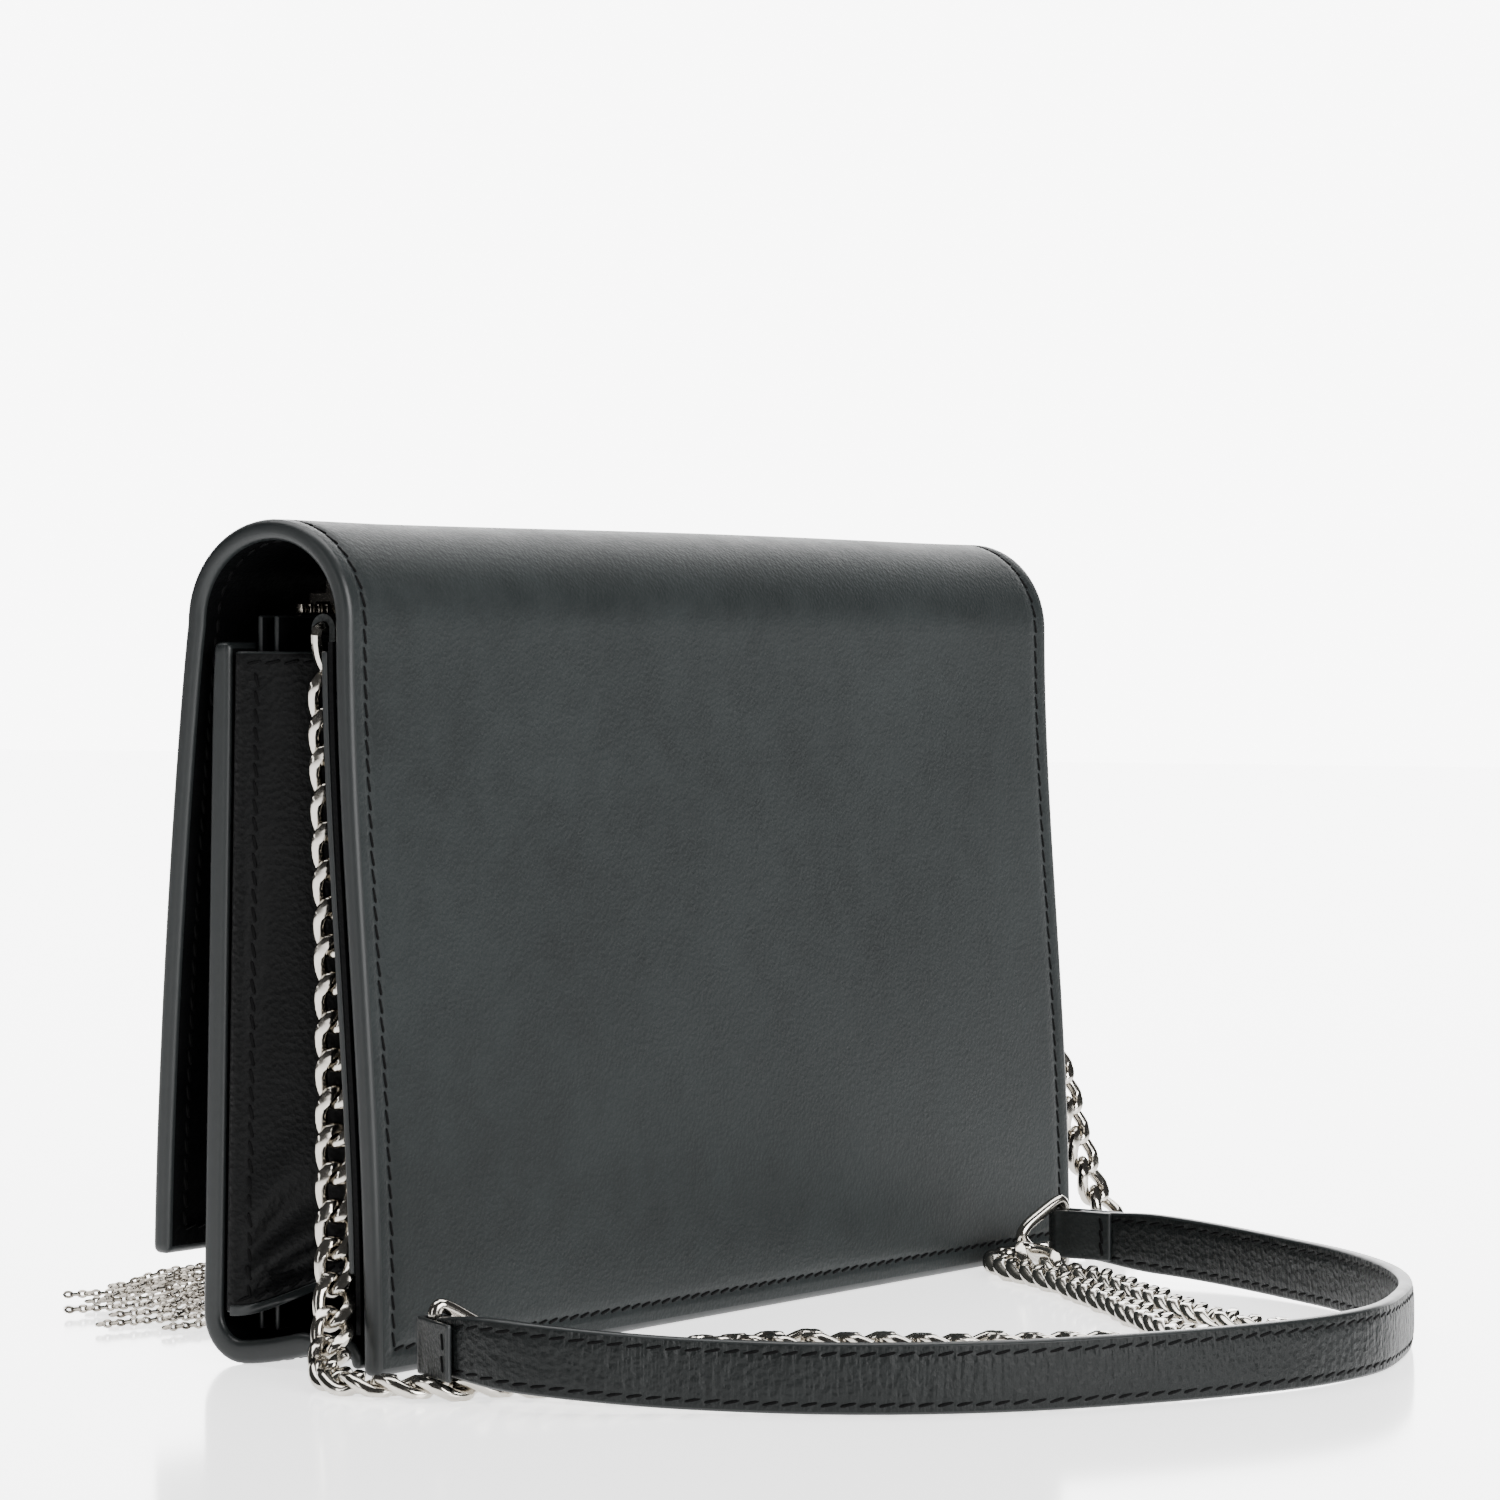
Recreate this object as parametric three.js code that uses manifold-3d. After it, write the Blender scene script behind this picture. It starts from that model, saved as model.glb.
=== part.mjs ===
// Chain wallet: a slim leather flap wallet with a shoulder chain, a leather shoulder pad and a chain tassel.
// Frame, in millimetres: +Z up, X along the width, -Y the flap side, +Y the plain back. "Right" is the +X end.
// The origin is on the ground, under the middle of the wallet without its chain and tassel.
// Depths below are written from the foot bend of the body, and the whole wallet is centred at the end.
import * as THREE from "three";
import { mergeVertices } from "three/addons/utils/BufferGeometryUtils.js";
import Module from "manifold-3d";

const wasm = await Module();
wasm.setup();

// ---- driving dimensions ----
const GAP = 0.3; // clearance between pieces that touch
const WIDTH = 190; // overall width of the leather sheets
const HEIGHT = 120.6; // ground to the top of the fold
const BACK_FOOT = 16.3; // back face at the ground, from the middle
const BACK_TOP = 11.3; // back face where the fold begins
const FOLD_RISE = 14.6; // height of the fold above its spring line
const FOLD_REACH = 15.5; // from the fold's crown to its front face
const FLAP_FOOT = 25.4; // front face of the flap at its lower edge
const FLAP_HEM = 14.9; // lower edge of the flap above the ground
const COVER_LEATHER = 1.6; // outer leather of back, fold and flap
const COVER_LINING = 1.1; // lining leather of the same sheet
const CORNER = 3.5; // rounded lower corners of flap and back
const BODY_DROP = 2.8; // top of the front panel below the fold's spring line
const BODY_LEATHER = 1.9; // front panel and base leather
const BODY_LINING = 1.2; // lining of the front panel
const BACK_WALL = 0.8; // the body's own back wall
const FRONT_FOOT = 16.3; // front face of the body near the ground
const FRONT_TOP = 14.2; // front face of the body at its top
const FOOT_RADIUS = 7; // bend between the front panel and the base
const BASE_RISE = 3.6; // how far the base climbs towards the back
const BASE_HOOK = 3; // bend that turns the base down against the back
const GUSSET_LEATHER = 1;
const GUSSET_DROP = 1.4; // top of the gussets below the top of the front panel
const GUSSET_FOOT = 7.2;
const GUSSET_HEEL = 7; // extra height of the gusset's lower edge at the back
const GUSSET_TURN = 3.2; // width of the front turning
const GUSSET_DEPTH = 11.3; // how far the gusset folds in at the back
const GUSSET_BEND = 1.1; // radius of the gusset's folds
const POCKET_RISE = 1; // top of the zipped pocket above the fold's spring line
const POCKET_FOOT = 4.4;
const POCKET_WALL = 0.8;
const POCKET_FRONT = 10.3; // front face of the pocket, from the middle
const POCKET_DEPTH = 3.8; // front face to back face of the pocket
const TAPE = 0.4; // zip tape thickness
const TAPE_HEIGHT = 9;
const TEETH_WIDTH = 2;
const TEETH_HEIGHT = 1.5;
const TEETH_INSET = 12; // zip's ends, in from the wallet's ends
const SLIDER_LENGTH = 9;
const SLIDER_WALL = 1.2;
const SLIDER_INSET = 11; // closed slider's middle, in from the end of the zip
const BAIL_RISE = 3;
const PIN = 0.6; // radius of the slider's crossbar
const PULLER_WIDTH = 3;
const PULLER_DROP = 16;
const PULLER_THICKNESS = 1;
const CARD_LEATHER = 0.7;
const CARD_ROWS = 3;
const CARD_STEP = 9; // how far each card slip stands above the next
const CARD_DROP = 6.2; // first card slip below the top of the front panel
const CARD_FOOT = 16;
const SNAP_HEIGHT = 34;
const SNAP_SOCKET_RADIUS = 8;
const SNAP_STUD_RADIUS = 7;
const SNAP_PLATE = 1.8;
const SNAP_POST_RADIUS = 2.3;
const SNAP_POST = 1.4;
const SNAP_PLAY = 0.9; // clearance of the post in its socket, all round
const SNAP_WASHER = 0.6;
const BADGE_LENGTH = 30;
const BADGE_HEIGHT = 10;
const BADGE_THICKNESS = 2;
const BADGE_LEVEL = 59;
const BADGE_FOOT_RADIUS = 1.4;
const EYE_RADIUS = 3; // middle of the wire, badge eye and tassel eye
const EYE_WIRE = 0.8;
const LINK_RADIUS = 3.8; // tassel's jump ring, middle of the wire
const LINK_WIRE = 0.8;
const CAP_RADIUS = 5.8;
const CAP_LENGTH = 10;
const CAP_WALL = 0.8;
const STRAND_THICKNESS = 2;
const STRAND_SPACING = 2.3;
const CHAIN_THICKNESS = 3.2;
const RING_WIRE = 0.95; // wire radius of the strap rings
const RING_HEIGHT = 12.6;
const RING_REACH = 9; // bar to apex, middle of the wire
const ANCHOR_WIRE = 0.8;
const ANCHOR_WIDTH = 6; // width of the anchor tabs
const ANCHOR_REACH = 6;
const ANCHOR_DROP = 1; // bar of the anchor rings below the fold's spring line
const ANCHOR_INSET = 5.2; // middle of the anchors, in from the wallet's ends
const TAB_LEATHER = 1;
const STRAP_WIDTH = 9.6;
const STRAP_THICKNESS = 2.6;
const STRAP_END_WIDTH = 7.6;
const STRAP_TAPER = 16; // length over which each end narrows
const STRAP_LOOP_LEATHER = 1.2;

// ---- routes of the free parts ----
// Each strap ring: its upright bar, and the direction its point faces.
const RING_RIGHT = { x: 104.2, y: 33.5, z: 7, facing: [-0.931, 0.365] };
const RING_LEFT = { x: -67.6, y: 31, z: 6.6, facing: [0.944, -0.331] };
const CHAIN_RIGHT = [
  [89.4, 3, 97], [89.8, 3.5, 88], [90, 4.1, 75], [90, 4.5, 60], [90.2, 4.9, 45],
  [90.8, 5.4, 31], [92.2, 6.5, 20], [95.4, 8.8, 11.5], [100, 12, 5.6], [105.6, 16, 2.4],
  [109.8, 21.5, 1.8], [110.6, 27.5, 1.8], [108.9, 33.5, 1.8], [104.8, 39, 1.8], [99.8, 43.8, 1.8],
  [97.3, 50.5, 1.8], [95.8, 58, 1.8], [92.2, 65.8, 1.8], [86.8, 73.5, 1.8], [80.3, 80.8, 1.8],
  [72.3, 87.3, 1.8], [63, 93.3, 1.8], [53, 98.8, 1.8], [43, 103.6, 1.8], [32.5, 107.8, 1.8],
  [23, 108.5, 1.8], [16, 104, 1.8], [13.5, 96, 1.8], [16.5, 88, 1.8], [22.5, 81, 1.8],
  [28.5, 74, 1.8], [33.2, 66, 1.8], [37.5, 58, 1.8], [42.3, 50, 1.8], [49.5, 44.5, 1.8],
  [59, 42, 1.8], [70, 41.5, 1.8], [81, 40.6, 2.4], [89, 39.2, 4.6], [94.3, 37.4, 6.6],
];
const CHAIN_LEFT = [
  [-89.4, 3, 97], [-89.8, 3.5, 88], [-90, 4.1, 75], [-90.6, 4.9, 60], [-93.2, 6.5, 48],
  [-97.8, 8.6, 38], [-100.6, 11, 28], [-103, 12.5, 18.5], [-105, 14.2, 10.5], [-105.8, 17.6, 4.6],
  [-102.5, 21.6, 2], [-95, 23, 1.8], [-85, 21.8, 1.8], [-74, 20.3, 1.8], [-65.5, 20.8, 1.8],
  [-58.3, 25, 1.8], [-52, 32.6, 1.8], [-45.5, 41.6, 1.8], [-38, 50.8, 1.8], [-29.5, 60, 1.8],
  [-19.5, 70.5, 1.8], [-9, 81.2, 1.8], [0, 90.3, 1.8], [5, 98, 1.8], [3.8, 106.5, 1.8],
  [-3.5, 110.5, 1.8], [-10.5, 106, 1.8], [-12, 97, 1.8], [-16.5, 87.6, 1.8], [-25, 76.5, 1.8],
  [-34.5, 65.6, 1.8], [-43, 56, 1.8], [-50.5, 46.6, 1.8], [-55.3, 38.6, 1.8], [-57.2, 33.4, 2.7],
  [-57.4, 30, 4.8],
];
const STRAP = [
  [105.8, 36, 7.3], [107.5, 38.5, 7.6], [110, 45, 7.7], [109.6, 52.5, 7.2], [106, 61, 6.4],
  [100.7, 69, 5.6], [95.2, 77.5, 5.1], [89.5, 87.5, 4.9], [82.3, 98, 4.9], [72, 108, 4.9],
  [55.3, 118.3, 4.9], [41, 124.8, 4.9], [27, 128.8, 4.9], [12, 129.2, 4.9], [-3.5, 125, 4.9],
  [-18, 118.8, 4.9], [-30, 111, 4.9], [-40, 101.8, 4.9], [-48.5, 91.5, 4.9], [-54.8, 81, 5],
  [-59.6, 71.5, 5.2], [-63.2, 62.5, 5.5], [-65.5, 53, 5.9], [-66.8, 43.5, 6.2], [-67.4, 36.5, 6.5],
  [-67.5, 34, 6.6],
];
// Tassel strands: heading on the ground in degrees, reach on the ground, place in the cap (along, across), bow.
const STRANDS = [
  { heading: -9, reach: 76, row: -0.5, place: 1.5, bow: 3 },
  { heading: -15, reach: 79, row: 0.5, place: 1, bow: 2 },
  { heading: -21, reach: 74, row: -0.5, place: 0.5, bow: 1 },
  { heading: -27, reach: 75, row: 0.5, place: 0, bow: -1 },
  { heading: -33, reach: 71, row: -0.5, place: -0.5, bow: -2 },
  { heading: -40, reach: 70, row: 0.5, place: -1, bow: -3 },
  { heading: -47, reach: 64, row: -0.5, place: -1.5, bow: -3 },
];
const FAN_HEADING = -27;
const STRAND_BEND = 9; // height at which the strands turn along the ground

// ---- leather and metal finishes ----
const leather = { color: 0x2b3030, roughness: 0.55, metalness: 0 };
const lining = { color: 0x17191a, roughness: 0.6, metalness: 0 };
const tapeCloth = { color: 0x131414, roughness: 0.9, metalness: 0 };
const nickel = { color: 0xcfcac2, roughness: 0.18, metalness: 1 };

const wallet = new THREE.Group();
const half = WIDTH / 2;
const foldBase = HEIGHT - FOLD_RISE;
const bodyTop = foldBase - BODY_DROP;
const gussetTop = bodyTop - GUSSET_DROP;
const pocketTop = foldBase + POCKET_RISE;
const v2 = (y, z) => new THREE.Vector2(y, z);

// ---- helpers ----
function weld(geometry) {
  const bare = geometry.clone();
  bare.deleteAttribute("normal");
  bare.deleteAttribute("uv");
  return mergeVertices(bare, 1e-4);
}

function addPiece(name, geometry, finish) {
  const mesh = new THREE.Mesh(weld(geometry), new THREE.MeshStandardMaterial(finish));
  mesh.name = name;
  wallet.add(mesh);
}

function toSolid(geometry) {
  const welded = weld(geometry);
  return new wasm.Manifold(
    new wasm.Mesh({
      numProp: 3,
      vertProperties: welded.attributes.position.array,
      triVerts: new Uint32Array(welded.index.array),
    }),
  );
}

function toGeometry(solid) {
  const mesh = solid.getMesh();
  const geometry = new THREE.BufferGeometry();
  geometry.setAttribute("position", new THREE.BufferAttribute(mesh.vertProperties, 3));
  geometry.setIndex(new THREE.BufferAttribute(mesh.triVerts, 1));
  return geometry;
}

const join = (...parts) => toGeometry(parts.map(toSolid).reduce((a, b) => a.add(b)));
const cut = (part, ...tools) => toGeometry(tools.map(toSolid).reduce((a, b) => a.subtract(b), toSolid(part)));
const keep = (part, mask) => toGeometry(toSolid(part).intersect(toSolid(mask)));

function mirrorX(geometry) {
  const mirrored = weld(geometry).scale(-1, 1, 1);
  const index = mirrored.index.array;
  for (let i = 0; i < index.length; i += 3) [index[i + 1], index[i + 2]] = [index[i + 2], index[i + 1]];
  return mirrored;
}

// An outline drawn in (y, z), extruded along X.
function acrossX(shape, x0, x1) {
  const geometry = new THREE.ExtrudeGeometry(shape, { depth: x1 - x0, bevelEnabled: false, curveSegments: 8 });
  const turn = new THREE.Matrix4().makeBasis(
    new THREE.Vector3(0, 1, 0),
    new THREE.Vector3(0, 0, 1),
    new THREE.Vector3(1, 0, 0),
  );
  return geometry.applyMatrix4(turn).translate(x0, 0, 0);
}

// An outline drawn in (x, z), extruded along Y.
function acrossY(shape, y0, y1) {
  const geometry = new THREE.ExtrudeGeometry(shape, { depth: y1 - y0, bevelEnabled: false, curveSegments: 8 });
  return geometry.rotateX(Math.PI / 2).translate(0, y1, 0);
}

function box(x0, x1, y0, y1, z0, z1) {
  const geometry = new THREE.BoxGeometry(x1 - x0, y1 - y0, z1 - z0);
  return geometry.translate((x0 + x1) / 2, (y0 + y1) / 2, (z0 + z1) / 2);
}

// A disc whose axis runs along Y.
function discY(radius, y0, y1, x, z, sides = 24) {
  return new THREE.CylinderGeometry(radius, radius, y1 - y0, sides).translate(x, (y0 + y1) / 2, z);
}

function tube(points, thickness, steps) {
  const path = new THREE.CatmullRomCurve3(points.map((p) => new THREE.Vector3(...p)), false, "centripetal");
  const section = [];
  for (let i = 0; i < 8; i += 1) {
    const a = (i / 8) * Math.PI * 2;
    section.push(v2((thickness / 2) * Math.cos(a), (thickness / 2) * Math.sin(a)));
  }
  return new THREE.ExtrudeGeometry(new THREE.Shape(section), { steps, bevelEnabled: false, extrudePath: path });
}

// A closed wire loop through points (u, w), from a torus whose ring is moved onto the loop.
function wireLoop(points, wire, steps = 32) {
  const path = new THREE.CatmullRomCurve3(points.map(([u, w]) => new THREE.Vector3(u, w, 0)), true);
  const geometry = new THREE.TorusGeometry(10, wire, 8, steps);
  const p = geometry.attributes.position;
  for (let i = 0; i < p.count; i += 1) {
    const turn = (Math.atan2(p.getY(i), p.getX(i)) / (2 * Math.PI) + 1) % 1;
    const at = path.getPoint(turn);
    const along = path.getTangent(turn);
    const out = Math.hypot(p.getX(i), p.getY(i)) - 10;
    p.setXY(i, at.x + along.y * out, at.y - along.x * out);
  }
  return geometry;
}

// A ring in the plane of x = 0.
const ringYZ = (radius, wire) => new THREE.TorusGeometry(radius, wire, 8, 24).rotateY(Math.PI / 2);

// A sheet between two depths on the left of a line of points, as seen along the line.
function sheet(points, near, far) {
  const side = (depth) =>
    points.map((p, i) => {
      const before = points[Math.max(i - 1, 0)];
      const after = points[Math.min(i + 1, points.length - 1)];
      const along = after.clone().sub(before).normalize();
      return v2(p.x - along.y * depth, p.y + along.x * depth);
    });
  return new THREE.Shape([...side(near), ...side(far).reverse()]);
}

// ---- profiles in (y, z) ----
const crownY = BACK_TOP - FOLD_RISE;
const foldFront = crownY - FOLD_REACH;
const backCurve = new THREE.CubicBezierCurve(
  v2(BACK_FOOT, 0),
  v2(BACK_FOOT, foldBase * 0.4),
  v2(BACK_TOP, foldBase * 0.68),
  v2(BACK_TOP, foldBase),
);
const flapCurve = new THREE.CubicBezierCurve(
  v2(foldFront, foldBase),
  v2(foldFront - 1.9, foldBase - 13),
  v2(-FLAP_FOOT + 0.6, FLAP_HEM + 33),
  v2(-FLAP_FOOT, FLAP_HEM),
);

// The y of a profile at height z, by halving.
function yAt(curve, z) {
  const rising = curve.getPoint(1).y > curve.getPoint(0).y;
  let low = 0;
  let high = 1;
  for (let i = 0; i < 30; i += 1) {
    const middle = (low + high) / 2;
    if (curve.getPoint(middle).y < z === rising) low = middle;
    else high = middle;
  }
  return curve.getPoint(low).x;
}

function lineAlong(curve, z0, z1, steps) {
  const points = [];
  for (let i = 0; i <= steps; i += 1) {
    const z = z0 + ((z1 - z0) * i) / steps;
    points.push(v2(yAt(curve, z), z));
  }
  return points;
}

// A layer that follows the back, between two heights and two depths from its outer face.
function backLayer(z0, z1, near, far, x0, x1, steps = 12) {
  return acrossX(sheet(lineAlong(backCurve, z0, z1, steps), near, far), x0, x1);
}

// ---- cover: back, fold and flap, one sheet of leather with its lining ----
const liningNear = COVER_LEATHER + GAP;
const coverDepth = liningNear + COVER_LINING;

function roundedMask(bottom) {
  const shape = new THREE.Shape();
  shape.moveTo(-half, HEIGHT);
  shape.lineTo(-half, bottom + CORNER);
  shape.absarc(-half + CORNER, bottom + CORNER, CORNER, Math.PI, Math.PI * 1.5);
  shape.lineTo(half - CORNER, bottom);
  shape.absarc(half - CORNER, bottom + CORNER, CORNER, Math.PI * 1.5, Math.PI * 2);
  shape.lineTo(half, HEIGHT);
  return acrossY(shape, -FLAP_FOOT - CORNER, BACK_FOOT + CORNER);
}

const backMask = roundedMask(0);
const flapMask = roundedMask(FLAP_HEM);
const seam = GAP / 2;
const backTop = foldBase - seam;
const flapTop = foldBase - seam;
const flapLine = lineAlong(flapCurve, flapTop, FLAP_HEM, 12);
const foldLine = [];
for (let i = 0; i <= 24; i += 1) {
  const a = (i / 24) * Math.PI;
  const reach = a < Math.PI / 2 ? FOLD_RISE : FOLD_REACH;
  foldLine.push(v2(crownY + reach * Math.cos(a), foldBase + FOLD_RISE * Math.sin(a)));
}
foldLine[0].y += seam;
foldLine[24].y += seam;

addPiece("back_panel", keep(backLayer(0, backTop, 0, COVER_LEATHER, -half, half), backMask), leather);
addPiece("back_lining", keep(backLayer(0, backTop, liningNear, coverDepth, -half, half), backMask), lining);
const rearFold = [...foldLine.slice(0, 12), v2(crownY + seam, HEIGHT)];
const frontFold = [v2(crownY - seam, HEIGHT), ...foldLine.slice(13)];
addPiece("fold_rear_panel", acrossX(sheet(rearFold, 0, COVER_LEATHER), -half, half), leather);
addPiece("fold_front_panel", acrossX(sheet(frontFold, 0, COVER_LEATHER), -half, half), leather);
addPiece("fold_lining", acrossX(sheet(foldLine, liningNear, coverDepth), -half, half), lining);

// ---- badge on the flap: a plain bar on two feet, with an eye for the tassel ----
const flapInner = (z) => yAt(flapCurve, z) + coverDepth;
const badgeBack = yAt(flapCurve, BADGE_LEVEL - BADGE_HEIGHT / 2) - GAP;
const badgeFront = badgeBack - BADGE_THICKNESS;
const badgeShape = new THREE.Shape();
badgeShape.absarc(-(BADGE_LENGTH - BADGE_HEIGHT) / 2, 0, BADGE_HEIGHT / 2, Math.PI / 2, Math.PI * 1.5);
badgeShape.absarc((BADGE_LENGTH - BADGE_HEIGHT) / 2, 0, BADGE_HEIGHT / 2, -Math.PI / 2, Math.PI / 2);
const eyeLevel = BADGE_LEVEL - BADGE_HEIGHT / 2 - EYE_RADIUS;
const eyeY = badgeBack - EYE_RADIUS - EYE_WIRE;
const footSpread = BADGE_LENGTH / 3;
const footEnd = yAt(flapCurve, BADGE_LEVEL) + COVER_LEATHER;
const badgeFoot = (x, radius, y0) => discY(radius, y0, footEnd, x, BADGE_LEVEL, 16);
addPiece(
  "badge",
  join(
    acrossY(badgeShape, badgeFront, badgeBack).translate(0, 0, BADGE_LEVEL),
    ringYZ(EYE_RADIUS, EYE_WIRE).translate(0, eyeY, eyeLevel),
    badgeFoot(-footSpread, BADGE_FOOT_RADIUS, badgeBack - BADGE_THICKNESS / 2),
    badgeFoot(footSpread, BADGE_FOOT_RADIUS, badgeBack - BADGE_THICKNESS / 2),
  ),
  nickel,
);
const footHole = (x) => discY(BADGE_FOOT_RADIUS + GAP, badgeFront, footEnd + GAP, x, BADGE_LEVEL, 16);
addPiece(
  "flap_panel",
  cut(
    keep(acrossX(sheet(flapLine, 0, COVER_LEATHER), -half, half), flapMask),
    footHole(-footSpread),
    footHole(footSpread),
  ),
  leather,
);
addPiece("flap_lining", keep(acrossX(sheet(flapLine, liningNear, coverDepth), -half, half), flapMask), lining);

// ---- body: front panel wrapped round into the base, with its lining ----
const frontY = (z) => -FRONT_FOOT + ((FRONT_FOOT - FRONT_TOP) * z) / bodyTop;
const panelHalf = half - GAP;
const wallDepth = coverDepth + GAP + BACK_WALL; // inside face of the body's back wall, from the back face
const hookY = BACK_FOOT - coverDepth - GAP - BODY_LEATHER;
const bodyLine = [];
for (let i = 0; i < 5; i += 1) {
  const z = bodyTop - ((bodyTop - FOOT_RADIUS) * i) / 5;
  bodyLine.push(v2(frontY(z), z));
}
const footY = frontY(FOOT_RADIUS) + FOOT_RADIUS;
for (let i = 0; i <= 8; i += 1) {
  const a = Math.PI + (i / 8) * (Math.PI / 2);
  bodyLine.push(v2(footY + FOOT_RADIUS * Math.cos(a), FOOT_RADIUS + FOOT_RADIUS * Math.sin(a)));
}
const hookStart = hookY - BASE_HOOK;
for (let i = 1; i <= 6; i += 1) {
  const share = i / 6;
  bodyLine.push(v2(footY + (hookStart - footY) * share, BASE_RISE * share ** 1.5));
}
const baseLiningLine = bodyLine.slice();
for (let i = 1; i <= 5; i += 1) {
  const a = ((5 - i) / 5) * (Math.PI / 2);
  bodyLine.push(v2(hookStart + BASE_HOOK * Math.cos(a), BASE_RISE - BASE_HOOK + BASE_HOOK * Math.sin(a)));
}
addPiece("front_base_panel", acrossX(sheet(bodyLine, 0, BODY_LEATHER), -panelHalf, panelHalf), leather);

const washerY = frontY(SNAP_HEIGHT) + BODY_LEATHER + GAP;
const washerSeat = discY(SNAP_STUD_RADIUS + GAP, washerY - GAP, washerY + SNAP_WASHER, 0, SNAP_HEIGHT);
addPiece(
  "front_lining",
  cut(
    acrossX(sheet(baseLiningLine, BODY_LEATHER + GAP, BODY_LEATHER + GAP + BODY_LINING), -panelHalf, panelHalf),
    washerSeat,
  ),
  lining,
);
addPiece("snap_washer", discY(SNAP_STUD_RADIUS, washerY, washerY + SNAP_WASHER - GAP, 0, SNAP_HEIGHT), nickel);
const wallFoot = BASE_RISE + BODY_LEATHER + GAP;
addPiece("back_wall", backLayer(wallFoot, bodyTop, coverDepth + GAP, wallDepth, -panelHalf, panelHalf), lining);

// ---- closure: a magnetic snap, its socket on the front panel and its stud on the flap ----
const studSeat = flapInner(SNAP_HEIGHT + SNAP_STUD_RADIUS) + GAP;
const studFace = studSeat + SNAP_PLATE;
addPiece(
  "snap_socket",
  cut(
    discY(SNAP_SOCKET_RADIUS, studFace + GAP, frontY(SNAP_HEIGHT - SNAP_SOCKET_RADIUS) - GAP, 0, SNAP_HEIGHT),
    discY(SNAP_POST_RADIUS + SNAP_PLAY, studFace - GAP, studFace + SNAP_POST + SNAP_PLAY, 0, SNAP_HEIGHT),
  ),
  nickel,
);
addPiece(
  "snap_stud",
  join(
    discY(SNAP_STUD_RADIUS, studSeat, studFace, 0, SNAP_HEIGHT),
    discY(SNAP_POST_RADIUS, studSeat + SNAP_PLATE / 2, studFace + SNAP_POST, 0, SNAP_HEIGHT),
  ),
  nickel,
);

// ---- gussets: folded inwards, so each end of the wallet has a groove for its chain ----
const turnDepth = BODY_LEATHER + GAP + BODY_LINING + GAP + GUSSET_LEATHER / 2;
const gussetFrontY = (z) => frontY(z) + turnDepth;
const gussetBackY = (z) => yAt(backCurve, z) - wallDepth - GAP - GUSSET_LEATHER / 2;

// Points of a bend about (cx, cy), between two angles in degrees.
function bend(cx, cy, radius, from, to) {
  const points = [];
  for (let i = 0; i <= 4; i += 1) {
    const a = THREE.MathUtils.degToRad(from + ((to - from) * i) / 4);
    points.push(v2(cx + radius * Math.cos(a), cy + radius * Math.sin(a)));
  }
  return points;
}

function gusset() {
  const front = gussetFrontY(gussetTop);
  const back = gussetBackY(gussetTop);
  const outerX = panelHalf - GUSSET_LEATHER / 2 - GUSSET_BEND;
  const innerX = half - GUSSET_DEPTH + GUSSET_BEND;
  const lean = THREE.MathUtils.radToDeg(Math.atan2(back - front - 2 * GUSSET_BEND, outerX - innerX));
  const middleLine = [
    v2(outerX - GUSSET_TURN, front),
    ...bend(outerX, front + GUSSET_BEND, GUSSET_BEND, -90, 90 - lean),
    ...bend(innerX, back - GUSSET_BEND, GUSSET_BEND, 270 - lean, 90),
    v2(panelHalf, back),
  ];
  const shape = sheet(middleLine, -GUSSET_LEATHER / 2, GUSSET_LEATHER / 2);
  const height = gussetTop - GUSSET_FOOT;
  const geometry = new THREE.ExtrudeGeometry(shape, { depth: height, steps: 12, bevelEnabled: false });
  const p = geometry.attributes.position;
  for (let i = 0; i < p.count; i += 1) {
    const share = THREE.MathUtils.smoothstep(p.getY(i), front + 2, back - 2);
    const z = GUSSET_FOOT + p.getZ(i) + GUSSET_HEEL * share * (1 - p.getZ(i) / height);
    const shift = (gussetFrontY(z) - front) * (1 - share) + (gussetBackY(z) - back) * share;
    p.setY(i, p.getY(i) + shift);
    p.setZ(i, z);
  }
  return geometry;
}
const gussetRight = gusset();
addPiece("gusset_right", gussetRight, lining);
addPiece("gusset_left", mirrorX(gussetRight), lining);

// ---- zipped pocket standing behind the front panel ----
const pocketHalf = half - GUSSET_TURN - GUSSET_BEND - GUSSET_LEATHER - 2 * GAP;
const pocketFrontY = -POCKET_FRONT;
const pocketBackY = pocketFrontY + POCKET_DEPTH;
const pocketY = (pocketFrontY + pocketBackY) / 2;
const tapeFrontY = pocketFrontY + POCKET_WALL + GAP;
const tapeBackY = pocketBackY - POCKET_WALL - GAP;
const teethHalf = half - TEETH_INSET;
const sliderX = teethHalf - SLIDER_INSET;
const tapeFoot = pocketTop - TAPE_HEIGHT;
const teethFoot = pocketTop + GAP;
const pocketSheet = (y0, y1, z0, halfLength) => box(-halfLength, halfLength, y0, y1, z0, pocketTop);
addPiece(
  "pocket_front_wall",
  pocketSheet(pocketFrontY, pocketFrontY + POCKET_WALL, POCKET_FOOT, pocketHalf),
  lining,
);
addPiece(
  "pocket_back_wall",
  pocketSheet(pocketBackY - POCKET_WALL, pocketBackY, POCKET_FOOT, pocketHalf),
  lining,
);
addPiece("zip_tape_front", pocketSheet(tapeFrontY, tapeFrontY + TAPE, tapeFoot, teethHalf), tapeCloth);
addPiece("zip_tape_back", pocketSheet(tapeBackY - TAPE, tapeBackY, tapeFoot, teethHalf), tapeCloth);
const teethY0 = pocketY - TEETH_WIDTH / 2;
const teethY1 = pocketY + TEETH_WIDTH / 2;
const teethTop = teethFoot + TEETH_HEIGHT;
addPiece("zip_teeth", box(-teethHalf, teethHalf, teethY0, teethY1, teethFoot, teethTop), nickel);

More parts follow.
